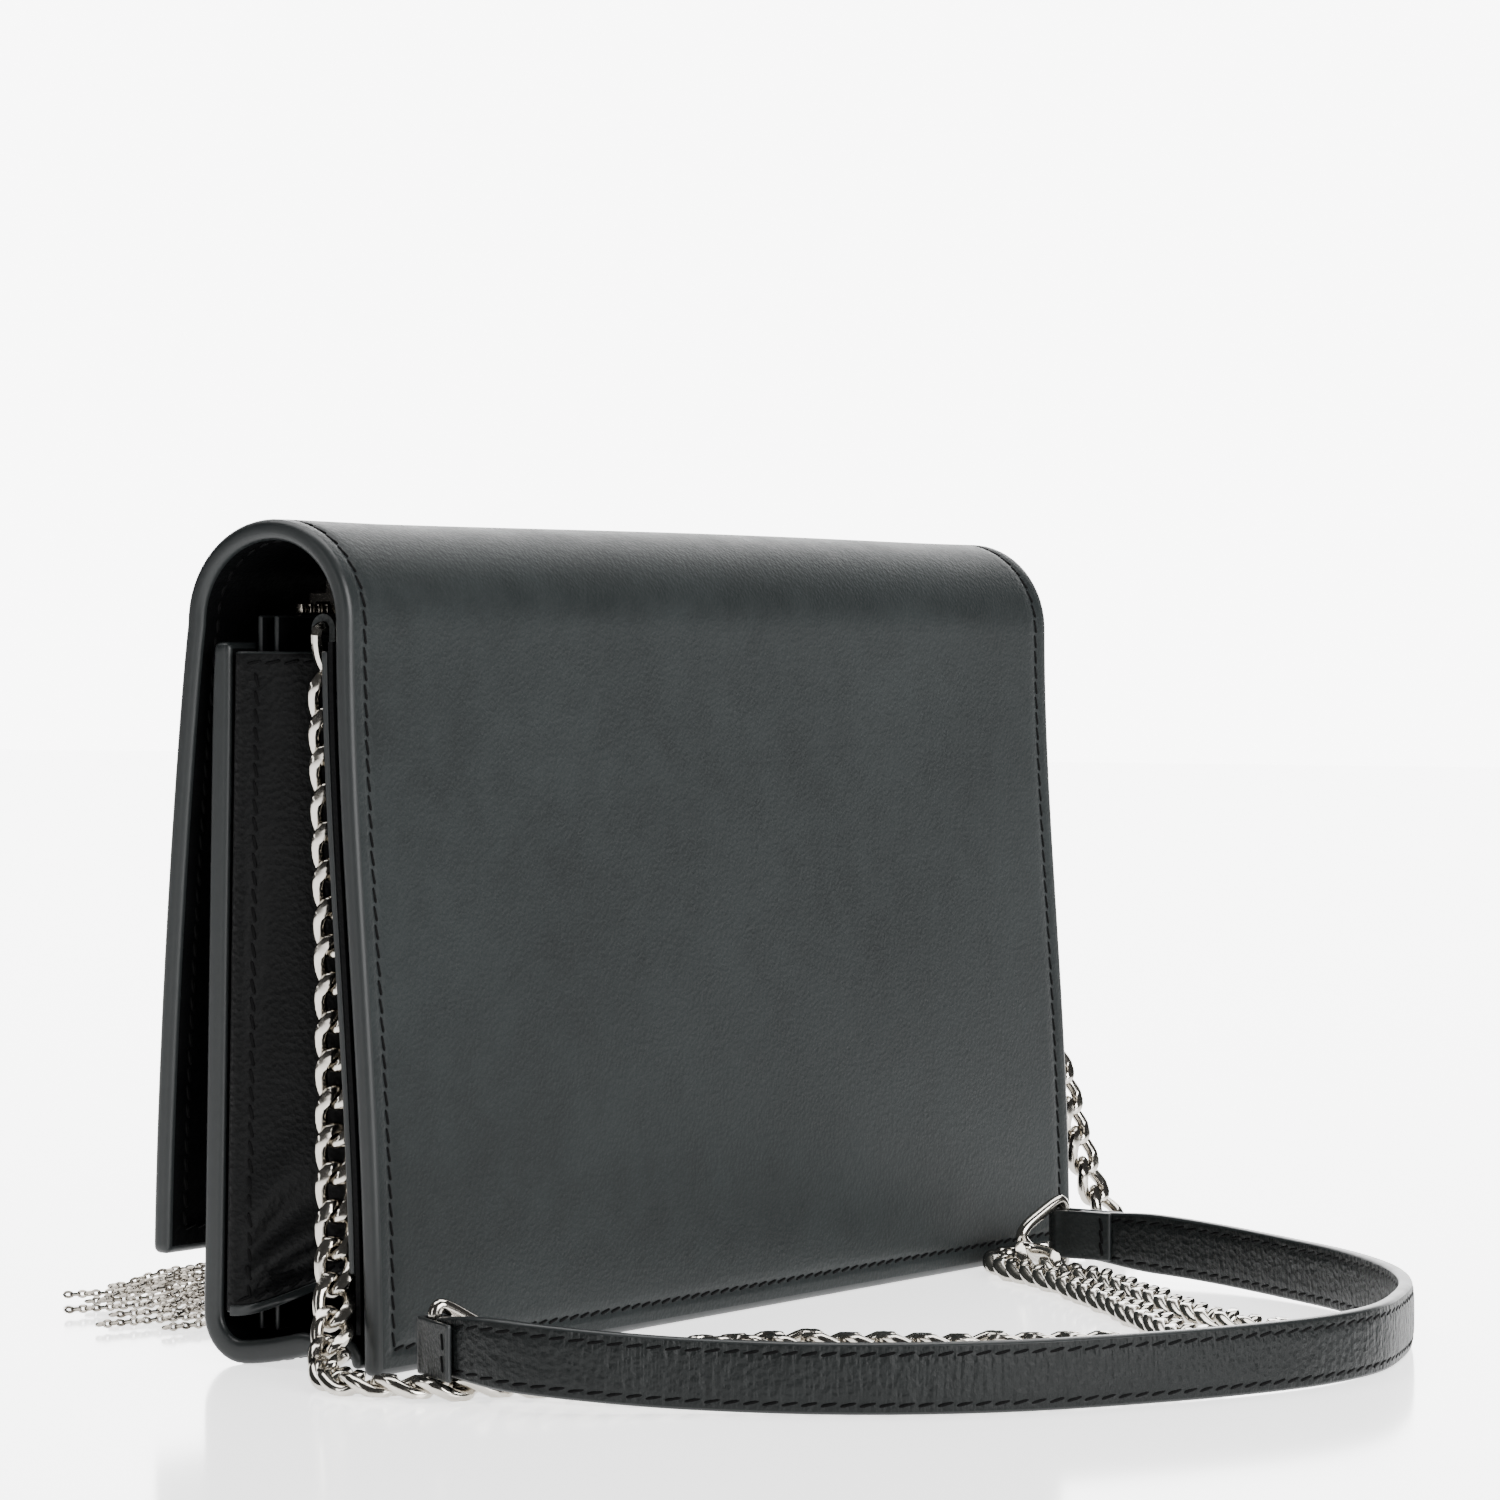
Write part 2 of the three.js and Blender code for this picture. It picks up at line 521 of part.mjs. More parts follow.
const sliderHalf = TEETH_WIDTH / 2 + GAP + SLIDER_WALL;
const slotTop = teethTop + GAP;
const sliderTop = slotTop + SLIDER_WALL;
const pinZ = sliderTop + BAIL_RISE - PIN;
const slider0 = sliderX - SLIDER_LENGTH / 2;
const slider1 = sliderX + SLIDER_LENGTH / 2;
const bailSpan = PULLER_WIDTH / 2 + GAP;
const bailPost = (x0) => box(x0, x0 + 2 * PIN, pocketY - PIN, pocketY + PIN, sliderTop - PIN, pinZ + PIN);
addPiece(
  "zip_slider",
  join(
    cut(
      box(slider0, slider1, pocketY - sliderHalf, pocketY + sliderHalf, teethFoot, sliderTop),
      box(slider0 - 1, slider1 + 1, teethY0 - GAP, teethY1 + GAP, 0, slotTop),
    ),
    bailPost(sliderX - bailSpan - 2 * PIN),
    bailPost(sliderX + bailSpan),
    box(
      sliderX - bailSpan - PIN,
      sliderX + bailSpan + PIN,
      pocketY - PIN / 1.5,
      pocketY + PIN / 1.5,
      pinZ - PIN / 1.5,
      pinZ + PIN / 1.5,
    ),
  ),
  nickel,
);
const pullerY = pocketY + sliderHalf + GAP + PULLER_THICKNESS / 2;
const pullerEye = PIN + GAP + PULLER_THICKNESS / 2;
const pullerArm = sheet(
  [
    v2(pocketY + pullerEye, pinZ),
    v2(pullerY - 0.4, pinZ - 0.4),
    v2(pullerY, pinZ - 1.4),
    v2(pullerY, pinZ - PULLER_DROP),
  ],
  -PULLER_THICKNESS / 2,
  PULLER_THICKNESS / 2,
);
const pullerX0 = sliderX - PULLER_WIDTH / 2;
const pullerX1 = sliderX + PULLER_WIDTH / 2;
const rodX = (radius, x0, x1) =>
  new THREE.CylinderGeometry(radius, radius, x1 - x0, 16)
    .rotateZ(Math.PI / 2)
    .translate((x0 + x1) / 2, pocketY, pinZ);
addPiece(
  "zip_puller",
  cut(
    join(rodX(PIN + GAP + PULLER_THICKNESS, pullerX0, pullerX1), acrossX(pullerArm, pullerX0, pullerX1)),
    rodX(PIN + GAP, pullerX0 - 1, pullerX1 + 1),
  ),
  nickel,
);

// ---- card slips on the back wall, each row standing above the one in front of it ----
const cardHalf = half - GUSSET_DEPTH - GUSSET_LEATHER - 2 * GAP;
for (let row = 0; row < CARD_ROWS; row += 1) {
  const near = wallDepth + GAP + row * (CARD_LEATHER + GAP);
  const top = bodyTop - CARD_DROP - row * CARD_STEP;
  const slip = backLayer(CARD_FOOT, top, near, near + CARD_LEATHER, -cardHalf, cardHalf);
  addPiece(`card_slip_${row + 1}`, slip, lining);
}

// ---- chain anchors: a leather tab holding a ring at each end of the back wall ----
const anchorX = half - ANCHOR_INSET;
const anchorZ = foldBase - ANCHOR_DROP;
const tabInner = ANCHOR_WIRE + GAP;
const tabOuter = tabInner + TAB_LEATHER;
const tabY = BACK_TOP - wallDepth - GAP - tabOuter;
const tabTailFoot = gussetTop + GAP;
const tabShape = new THREE.Shape();
tabShape.moveTo(tabY + tabOuter, anchorZ);
tabShape.absarc(tabY, anchorZ, tabOuter, 0, Math.PI * 1.35);
tabShape.absarc(tabY, anchorZ, tabInner, Math.PI * 1.35, 0, true);
tabShape.lineTo(tabY + tabInner, tabTailFoot);
tabShape.lineTo(tabY + tabOuter, tabTailFoot);
const tabHalf = ANCHOR_WIDTH / 2;
const anchorBar = tabHalf + GAP + ANCHOR_WIRE;
const anchorLoop = wireLoop(
  [
    [-anchorBar, 0], [-anchorBar * 0.92, -ANCHOR_REACH * 0.5], [-anchorBar * 0.5, -ANCHOR_REACH * 0.9],
    [0, -ANCHOR_REACH], [anchorBar * 0.5, -ANCHOR_REACH * 0.9], [anchorBar * 0.92, -ANCHOR_REACH * 0.5],
    [anchorBar, 0], [anchorBar * 0.5, 0.1], [0, 0.1], [-anchorBar * 0.5, 0.1],
  ],
  ANCHOR_WIRE,
).rotateX(Math.PI / 2 - 0.12);
const anchorRing = anchorLoop.translate(anchorX, tabY, anchorZ);
const anchorTab = acrossX(tabShape, anchorX - tabHalf, anchorX + tabHalf);
addPiece("anchor_tab_right", anchorTab, leather);
addPiece("anchor_tab_left", mirrorX(anchorTab), leather);
addPiece("anchor_ring_right", anchorRing, nickel);
addPiece("anchor_ring_left", mirrorX(anchorRing), nickel);

// ---- shoulder chain ----
addPiece("chain_right", tube(CHAIN_RIGHT, CHAIN_THICKNESS, 70), nickel);
addPiece("chain_left", tube(CHAIN_LEFT, CHAIN_THICKNESS, 70), nickel);

// ---- strap rings: an upright bar and a point that takes the chain ----
const ringHalf = RING_HEIGHT / 2 - RING_WIRE;
function strapRing(place) {
  const loop = wireLoop(
    [
      [RING_REACH, 0], [RING_REACH * 0.9, 1.4], [RING_REACH * 0.55, 3.4], [RING_REACH * 0.22, ringHalf * 0.93],
      [0.7, ringHalf], [0, ringHalf * 0.84], [0, ringHalf * 0.45], [0, -ringHalf * 0.45], [0, -ringHalf * 0.84],
      [0.7, -ringHalf],
      [RING_REACH * 0.22, -ringHalf * 0.93], [RING_REACH * 0.55, -3.4], [RING_REACH * 0.9, -1.4],
    ],
    RING_WIRE,
    40,
  );
  const turn = Math.atan2(place.facing[1], place.facing[0]);
  return loop.rotateX(Math.PI / 2).rotateZ(turn).translate(place.x, place.y, place.z);
}
addPiece("strap_ring_right", strapRing(RING_RIGHT), nickel);
addPiece("strap_ring_left", strapRing(RING_LEFT), nickel);

// ---- shoulder pad: a leather band on its edge, with a loop at each end ----
function strapLoop(place) {
  const inner = RING_WIRE + GAP;
  const outer = inner + STRAP_LOOP_LEATHER;
  const h = STRAP_END_WIDTH / 2;
  const profile = [v2(inner, -h), v2(outer, -h), v2(outer, h), v2(inner, h), v2(inner, -h)];
  return new THREE.LatheGeometry(profile, 20).rotateX(Math.PI / 2).translate(place.x, place.y, place.z);
}
addPiece("strap_loop_right", strapLoop(RING_RIGHT), leather);
addPiece("strap_loop_left", strapLoop(RING_LEFT), leather);

function strapPad() {
  const path = new THREE.CatmullRomCurve3(STRAP.map((p) => new THREE.Vector3(...p)), false, "centripetal");
  const length = path.getLength();
  const geometry = new THREE.BoxGeometry(length, STRAP_THICKNESS, STRAP_WIDTH, 64, 1, 1);
  const p = geometry.attributes.position;
  for (let i = 0; i < p.count; i += 1) {
    const along = p.getX(i) + length / 2;
    const share = THREE.MathUtils.clamp(along / length, 0, 1);
    const at = path.getPointAt(share);
    const ahead = path.getTangentAt(share);
    const flat = v2(ahead.x, ahead.y).normalize();
    const taper = THREE.MathUtils.smoothstep(Math.min(along, length - along), 0, STRAP_TAPER);
    const height = THREE.MathUtils.lerp(STRAP_END_WIDTH / STRAP_WIDTH, 1, taper);
    const out = p.getY(i);
    p.setXYZ(i, at.x - flat.y * out, at.y + flat.x * out, at.z + p.getZ(i) * height);
  }
  return geometry;
}
addPiece("strap_pad", strapPad(), leather);

// ---- tassel: jump ring, cap and a fan of fine chains lying on the ground ----
const linkTopZ = eyeLevel - EYE_RADIUS + EYE_WIRE + LINK_WIRE + GAP;
const tasselY = yAt(flapCurve, FLAP_HEM) - CAP_RADIUS - GAP;
const linkLean = Math.asin((eyeY - tasselY) / (2 * LINK_RADIUS));
const linkBottomZ = linkTopZ - 2 * LINK_RADIUS * Math.cos(linkLean);
const linkY = eyeY - LINK_RADIUS * Math.sin(linkLean);
const capEyeZ = linkBottomZ + LINK_WIRE + EYE_WIRE + GAP - EYE_RADIUS;
const capTop = capEyeZ - EYE_RADIUS;
const capFoot = capTop - CAP_LENGTH;
addPiece(
  "tassel_link",
  new THREE.TorusGeometry(LINK_RADIUS, LINK_WIRE, 8, 28)
    .rotateX(Math.PI / 2 - linkLean)
    .translate(0, linkY, (linkTopZ + linkBottomZ) / 2),
  nickel,
);
const capProfile = [
  v2(0, 0),
  v2(2.4, -0.4),
  v2(4.2, -2),
  v2(CAP_RADIUS - 0.5, -4.6),
  v2(CAP_RADIUS, -CAP_LENGTH),
  v2(CAP_RADIUS - CAP_WALL, -CAP_LENGTH),
  v2(CAP_RADIUS - CAP_WALL - 0.6, -4.8),
  v2(3.4, -2.6),
  v2(0, -2.2),
].reverse();
addPiece(
  "tassel_cap",
  join(
    new THREE.LatheGeometry(capProfile, 24).rotateX(Math.PI / 2).translate(0, tasselY, capTop),
    ringYZ(EYE_RADIUS, EYE_WIRE).translate(0, tasselY, capEyeZ),
  ),
  nickel,
);

function strandRoute({ heading, reach, row, place, bow }) {
  const fan = THREE.MathUtils.degToRad(FAN_HEADING);
  const way = THREE.MathUtils.degToRad(heading);
  const x0 = (row * Math.cos(fan) - place * Math.sin(fan)) * STRAND_SPACING;
  const y0 = tasselY + (row * Math.sin(fan) + place * Math.cos(fan)) * STRAND_SPACING;
  const ground = STRAND_THICKNESS / 2 + GAP;
  const lift = row > 0 ? STRAND_SPACING : 0;
  const at = (share, z) => [
    x0 + reach * share * Math.cos(way) - bow * Math.sin(Math.PI * share) * Math.sin(way),
    y0 + reach * share * Math.sin(way) + bow * Math.sin(Math.PI * share) * Math.cos(way),
    z,
  ];
  return [
    at(0, capFoot + 2.6),
    at(0.005, capFoot - 4),
    at(0.02, STRAND_BEND + 7 + lift),
    at(0.055, STRAND_BEND + lift),
    at(0.12, ground + 2.2 + lift),
    at(0.22, ground + lift),
    at(0.36, ground + lift),
    at(0.52, ground + lift * 0.55),
    at(0.68, ground),
    at(0.84, ground),
    at(1, ground),
  ];
}
STRANDS.forEach((strand, i) => {
  addPiece(`tassel_strand_${i + 1}`, tube(strandRoute(strand), STRAND_THICKNESS, 26), nickel);
});

// ---- the wallet's own box, from the back's foot to the badge's eye, is centred on the origin ----
wallet.position.y = (EYE_RADIUS + EYE_WIRE - eyeY - BACK_FOOT) / 2;
const root = new THREE.Group();
root.add(wallet);

export default root;
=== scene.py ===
# Chain wallet: a dark leather flap wallet standing on a pale floor, its curb chain and shoulder pad laid out
# behind it and the fine chains of its tassel fanned out beside it. Metres, +Z up, -Y the flap side.
import math
import random

import bmesh
import bpy
import numpy as np
from mathutils import Matrix, Vector, noise


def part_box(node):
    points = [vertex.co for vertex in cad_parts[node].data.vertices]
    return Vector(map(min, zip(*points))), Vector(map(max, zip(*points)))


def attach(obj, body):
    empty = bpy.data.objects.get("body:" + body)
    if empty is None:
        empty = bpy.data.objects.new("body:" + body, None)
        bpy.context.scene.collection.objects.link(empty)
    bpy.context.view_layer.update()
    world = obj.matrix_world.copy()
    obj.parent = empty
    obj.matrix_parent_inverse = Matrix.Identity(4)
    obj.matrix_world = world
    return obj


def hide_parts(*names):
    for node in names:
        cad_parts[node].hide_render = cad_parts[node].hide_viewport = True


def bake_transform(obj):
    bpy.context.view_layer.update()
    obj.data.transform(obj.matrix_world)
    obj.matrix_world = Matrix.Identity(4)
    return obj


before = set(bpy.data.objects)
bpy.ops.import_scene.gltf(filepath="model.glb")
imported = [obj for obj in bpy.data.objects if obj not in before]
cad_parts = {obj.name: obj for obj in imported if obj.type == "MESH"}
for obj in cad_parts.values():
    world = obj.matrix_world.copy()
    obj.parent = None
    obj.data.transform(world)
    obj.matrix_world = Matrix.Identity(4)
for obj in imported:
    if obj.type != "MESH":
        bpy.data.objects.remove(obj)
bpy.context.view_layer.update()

# Depths below are millimetres from the foot bend's plane, so the frame's own centring is added back.
BACK_FOOT = 16.3
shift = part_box("back_panel")[1].y * 1000 - BACK_FOOT


def at(x, y, z):
    """A point given in millimetres."""
    return Vector((x, y + shift, z)) / 1000


# ---- camera ----
# Eye a little above the floor's edge, looking across the back panel and the right end.
lens = bpy.data.cameras.new("camera")
lens.lens = 123.7
camera = bpy.data.objects.new("camera", lens)
bpy.context.collection.objects.link(camera)
camera.location = at(660.92, 464.61, 99.5)
camera.rotation_euler = (math.pi / 2 - 0.016, 0.0, math.pi - 0.973)
bpy.context.scene.camera = camera


# ---- routes of the cords ----
# A route is a smooth line through given points, measured by its length.
class Route:
    def __init__(self, points, closed=False):
        ends = [points[0] * 2 - points[1]], [points[-1] * 2 - points[-2]]
        if closed:
            ends = [points[-1]], [points[0], points[1]]
        line = [*ends[0], *points, *ends[1]]
        dense = []
        for a, b, c, d in zip(line, line[1:], line[2:], line[3:]):
            tb = (b - a).length ** 0.5
            tc = tb + (c - b).length ** 0.5
            td = tc + (d - c).length ** 0.5
            for k in range(16):
                t = tb + (tc - tb) * k / 16
                ab = a.lerp(b, t / tb)
                bc = b.lerp(c, (t - tb) / (tc - tb))
                cd = c.lerp(d, (t - tc) / (td - tc))
                dense.append(ab.lerp(bc, t / tc).lerp(bc.lerp(cd, (t - tb) / (td - tb)), (t - tb) / (tc - tb)))
        dense.append(line[-2] if not closed else dense[0])
        self.points = np.array(dense, float)
        steps = np.linalg.norm(np.diff(self.points, axis=0), axis=1)
        self.lengths = np.concatenate([[0.0], np.cumsum(steps)])
        self.length = float(self.lengths[-1])

    def point(self, s):
        return Vector([float(np.interp(s, self.lengths, self.points[:, i])) for i in range(3)])

    def along(self, s, reach=0.0006):
        s = min(max(s, reach), self.length - reach)
        return (self.point(s + reach) - self.point(s - reach)).normalized()

    def nearest(self, p):
        return float(self.lengths[np.argmin(np.linalg.norm(self.points - np.array(p), axis=1))])

    def path(self, step=0.002):
        count = max(2, round(self.length / step))
        return [self.point(self.length * i / count) for i in range(count + 1)]


def route(points):
    return Route([at(*p) for p in points])


# ---- mesh helpers used by every piece ----
def finish_mesh(name, mesh, materials, body=None, smooth_angle=math.radians(50)):
    """Turns a mesh into a shaded piece of the wallet."""
    for polygon in mesh.polygons:
        polygon.use_smooth = True
    mesh.set_sharp_from_angle(angle=smooth_angle)
    for material in materials:
        mesh.materials.append(material)
    piece = bpy.data.objects.new(name, mesh)
    bpy.context.collection.objects.link(piece)
    if body:
        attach(piece, body)
    return piece


def to_mesh(name, bm):
    bmesh.ops.recalc_face_normals(bm, faces=bm.faces)
    mesh = bpy.data.meshes.new(name)
    bm.to_mesh(mesh)
    bm.free()
    return mesh


def copies(name, template, matrices):
    """One mesh holding a copy of the template for each matrix."""
    co = np.array([v.co for v in template.vertices], float)
    faces = [list(p.vertices) for p in template.polygons]
    count = len(co)
    spots = []
    polygons = []
    for i, matrix in enumerate(matrices):
        m = np.array(matrix)
        spots.append(co @ m[:3, :3].T + m[:3, 3])
        polygons += [[v + i * count for v in face] for face in faces]
    mesh = bpy.data.meshes.new(name)
    mesh.from_pydata(np.concatenate(spots).tolist(), [], polygons)
    return mesh


def ring(name, wire, place, steps=40, sides=12):
    """A closed wire. place(turn) gives its centreline, out from the middle and the third axis."""
    bm = bmesh.new()
    turn = Matrix.Translation((1, 0, 0)) @ Matrix.Rotation(math.pi / 2, 4, "X")
    bmesh.ops.create_circle(bm, segments=sides, radius=0.2, matrix=turn)
    bmesh.ops.spin(bm, geom=bm.verts[:] + bm.edges[:], cent=(0, 0, 0), axis=(0, 0, 1),
                   angle=math.tau, steps=steps, use_merge=True)
    for v in bm.verts:
        share = (math.atan2(v.co.y, v.co.x) / math.tau) % 1
        centre, outward, third = place(share)
        v.co = centre + (outward * (math.hypot(v.co.x, v.co.y) - 1) + third * v.co.z) * (wire / 0.2)
    return to_mesh(name, bm)


def wire_ring(name, points, normal, wire, steps=44, sides=12):
    """A closed round wire through points that lie in the plane with that normal."""
    loop = Route([Vector(p) for p in points], closed=True)
    normal = Vector(normal).normalized()

    def place(share):
        s = share * loop.length
        ahead = (loop.point((s + 0.0002) % loop.length) - loop.point((s - 0.0002) % loop.length)).normalized()
        return loop.point(s), ahead.cross(normal).normalized(), normal

    return ring(name, wire, place, steps, sides)


def slab(name, us, vs, place, bevel=0.0, segments=3, sharp_ends=(), uv=None):
    """A sheet with a thickness. place(u, v, w) gives its points, w 0 on the outside and 1 on the inside.
    Faces get material 0 outside, 1 on the rim and 2 inside. Rims at the v values in sharp_ends stay square."""
    bm = bmesh.new()
    bmesh.ops.create_grid(bm, x_segments=len(us) - 1, y_segments=len(vs) - 1, size=0.5)
    outside = bm.faces[:]
    made = bmesh.ops.extrude_face_region(bm, geom=outside, use_keep_orig=True)["geom"]
    inside = [f for f in made if isinstance(f, bmesh.types.BMFace)]
    inner_verts = {v for v in made if isinstance(v, bmesh.types.BMVert)}
    layer = bm.loops.layers.uv.new("uv")
    spot = {}
    for v in bm.verts:
        u = us[round((v.co.x + 0.5) * (len(us) - 1))]
        t = vs[round((v.co.y + 0.5) * (len(vs) - 1))]
        spot[v] = (u, t, 1.0 if v in inner_verts else 0.0)
    for face in bm.faces:
        face.material_index = 1
    for face in outside:
        face.material_index = 0
    for face in inside:
        face.material_index = 2
    for v, (u, t, w) in spot.items():
        v.co = place(u, t, w)
    for face in bm.faces:
        for loop in face.loops:
            u, t, _ = spot[loop.vert]
            loop[layer].uv = uv(u, t) if uv else (u, t)
    if bevel:
        bmesh.ops.recalc_face_normals(bm, faces=bm.faces)
        rim = []
        for edge in bm.edges:
            kinds = {f.material_index for f in edge.link_faces}
            ends = {round(spot[v][1], 6) for v in edge.verts}
            corner = kinds == {1} and edge.calc_face_angle(0) > 1
            if (len(kinds) == 2 or corner) and not (len(ends) == 1 and ends & {round(e, 6) for e in sharp_ends}):
                rim.append(edge)
        bmesh.ops.bevel(bm, geom=rim, offset=bevel, segments=segments, profile=0.5,
                        affect="EDGES", material=1, clamp_overlap=True)
    return to_mesh(name, bm)


def spread(start, end, count, *extra):
    """Evenly spaced values with some extra ones in between."""
    values = {round(start + (end - start) * i / count, 9) for i in range(count + 1)}
    return sorted(values | {round(e, 9) for e in extra}, reverse=start > end)


# ---- materials ----
# Shader sockets can be added and multiplied like numbers. Every other node is made by node().
class Socket:
    def __init__(self, out):
        self.out = out

    def math(self, operation, *others):
        node = self.out.id_data.nodes.new("ShaderNodeMath")
        node.operation = operation
        for slot, value in zip(node.inputs, (self, *others)):
            feed(slot, value)
        return Socket(node.outputs[0])

    def __add__(self, other):
        return self.math("ADD", other)

    def __sub__(self, other):
        return self.math("SUBTRACT", other)

    def __mul__(self, other):
        return self.math("MULTIPLY", other)

    def __truediv__(self, other):
        return self.math("DIVIDE", other)

    def band(self, centre, width):
        """One at the centre, falling to nothing at that distance from it."""
        off = (self - centre).math("ABSOLUTE") / width
        return (off * -1 + 1).math("MAXIMUM", 0.0).math("SMOOTH_MIN", 1.0, 0.2)


def feed(slot, value):
    if isinstance(value, Socket):
        slot.id_data.links.new(value.out, slot)
    else:
        slot.default_value = value


class Paint:
    def __init__(self, name, color, roughness, **constants):
        self.material = bpy.data.materials.new(name)
        self.material.use_nodes = True
        self.tree = self.material.node_tree
        self.shader = self.tree.nodes["Principled BSDF"]
        self.material.diffuse_color = (*color, 1)
        self.set(base_color=(*color, 1), roughness=roughness, **constants)

    def set(self, **channels):
        for key, value in channels.items():
            feed(self.shader.inputs[key.replace("_", " ").title().replace("Ior", "IOR")], value)

    def node(self, kind, output=0, settings=(), **inputs):
        node = self.tree.nodes.new("ShaderNode" + kind)
        for key, value in dict(settings).items():
            setattr(node, key, value)
        for key, value in inputs.items():
            feed(node.inputs[key.replace("_", " ").title()], value)
        return Socket(node.outputs[output])

    def place(self, uv=False):
        return self.node("TexCoord", "UV" if uv else "Object")

    def noise(self, where, scale, detail=3.0, roughness=0.55):
        return self.node("TexNoise", vector=where, scale=scale, detail=detail, roughness=roughness)

    def tint(self, factor, low, high):
        """A colour between two, by a factor."""
        node = self.tree.nodes.new("ShaderNodeMix")
        node.data_type = "RGBA"
        feed(node.inputs["Factor"], factor)
        for key, color in (("A", low), ("B", high)):
            [s for s in node.inputs if s.name == key and s.type == "RGBA"][0].default_value = (*color, 1)
        return Socket([s for s in node.outputs if s.type == "RGBA"][0])

    def bump(self, height, strength, distance):
        normal = self.node("Bump", height=height, strength=strength, distance=distance)
        self.set(normal=normal)


def leather_paint(name, color, grain=1500.0, depth=0.00014, gloss=0.42, roughness=0.46, uv=False, wrinkles=None, edge_lines=None):
    """Grained leather: fine cells and creases in the bump, slight mottling and dry, paler high spots."""
    paint = Paint(name, color, roughness, specular_ior_level=gloss)
    where = paint.place(uv)
    cells = paint.node("TexVoronoi", "Distance", vector=where, scale=grain, randomness=1.0)
    fine = paint.noise(where, grain * 1.9, 4.0)
    broad = paint.noise(where, 26.0, 3.0)
    clouds = paint.noise(where, 150.0, 4.0)
    height = cells * 0.55 + fine * 0.45
    if wrinkles:
        height = height + wrinkles(paint, where)
    mottle = (broad * 0.6 + clouds * 0.4 - 0.32).math("MULTIPLY", 2.6).math("MINIMUM", 1.0).math("MAXIMUM", 0.0)
    pale = tuple(c * 1.34 + 0.0015 for c in color)
    dark = tuple(c * 0.78 for c in color)
    paint.set(base_color=paint.tint(mottle, dark, pale), roughness=(clouds * 0.16 + (roughness - 0.08)) + cells * 0.06)
    if edge_lines:
        height = height + edge_lines(paint, where)
    paint.bump(height, 0.55, depth)
    return paint.material


body_leather = leather_paint("body_leather", (0.0062, 0.0078, 0.0078), gloss=0.19, depth=0.0003)
# Near-black, far darker than the outer leather: painted shade for the dim inside of the wallet.
lining_leather = leather_paint("lining_leather", (0.0009, 0.0010, 0.0012), gloss=0.05, roughness=0.5)
edge_paint_look = Paint("edge_paint", (0.008, 0.0096, 0.0099), 0.36, specular_ior_level=0.3)
edge_where = edge_paint_look.place()
edge_paint_look.set(roughness=edge_paint_look.noise(edge_where, 240.0, 3.0) * 0.16 + 0.3)
edge_paint_look.bump(edge_paint_look.noise(edge_where, 420.0, 3.0), 0.35, 0.0001)
edge_paint = edge_paint_look.material
thread_look = Paint("thread", (0.0012, 0.0012, 0.0013), 0.65, specular_ior_level=0.06)
thread_where = thread_look.place()
thread_look.bump(thread_look.node("TexWave", "Fac", vector=thread_where, scale=900.0, distortion=2.0), 0.5, 0.00005)
thread = thread_look.material


def metal_paint(name, color, roughness):
    """Polished nickel plate with hair-fine wear and a slight unevenness."""
    paint = Paint(name, color, roughness, metallic=1.0)
    where = paint.place()
    wear = paint.noise(where, 900.0, 5.0)
    haze = paint.noise(where, 160.0, 3.0)
    paint.set(roughness=wear * 0.14 + haze * 0.1 + (roughness - 0.08))
    paint.set(base_color=paint.tint(haze, tuple(c * 0.9 for c in color), color))
    paint.bump(wear, 0.12, 0.00004)
    return paint.material


nickel = metal_paint("nickel", (0.50, 0.472, 0.425), 0.11)
fine_nickel = metal_paint("fine_nickel", (0.30, 0.275, 0.24), 0.2)


# ---- curb chain ----
# One link is an oval of round wire, turned a quarter from end to end, with both faces ground flat.
PITCH = 0.0054
LINK_LENGTH = 0.0093
LINK_WIDTH = 0.0062
LINK_WIRE = 0.00096
GROUND_FACE = 0.00152


def curb_link(share):
    half_length = LINK_LENGTH / 2 - LINK_WIRE
    half_width = LINK_WIDTH / 2 - LINK_WIRE

    def spot(t):
        c, s = math.cos(t * math.tau), math.sin(t * math.tau)
        x = half_length * math.copysign(abs(c) ** 0.86, c)
        y = half_width * math.copysign(abs(s) ** 0.8, s)
        roll = math.radians(47) * x / half_length
        return Vector((x, y * math.cos(roll), y * math.sin(roll)))

    centre = spot(share)
    ahead = (spot(share + 0.004) - spot(share - 0.004)).normalized()
    outward = (centre - ahead * centre.dot(ahead)).normalized()
    return centre, outward, outward.cross(ahead)


link = ring("link", LINK_WIRE, curb_link, steps=30, sides=10)
for v in link.vertices:
    v.co.z = max(-GROUND_FACE, min(GROUND_FACE, v.co.z))


def lay_chain(name, line, faces, node, exit_point):
    """Links along a route. faces maps route points to the direction that the links' flat side looks there."""
    marks = sorted((line.nearest(at(*p)), Vector(d).normalized()) for p, d in faces)
    spots = [m[0] for m in marks]
    count = round(line.length / PITCH)
    step = line.length / count
    matrices = []
    for i in range(count):
        s = (i + 0.5) * step
        ahead = line.along(s, 0.0022)
        face = Vector([float(np.interp(s, spots, [m[1][k] for m in marks])) for k in range(3)])
        wobble = 0.10 * math.sin(i * 2.4) + 0.06 * math.sin(i * 5.1 + 1)
        side = face.cross(ahead).normalized()
        face = (ahead.cross(side) + side * wobble).normalized()
        side = face.cross(ahead).normalized()
        place = Matrix((ahead, side, ahead.cross(side))).transposed().to_4x4()
        place.translation = line.point(s)
        matrices.append(place)
    piece = finish_mesh(name, copies(name, link, matrices), [nickel], "body", math.radians(38))
    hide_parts(node)
    line.path()
    return piece


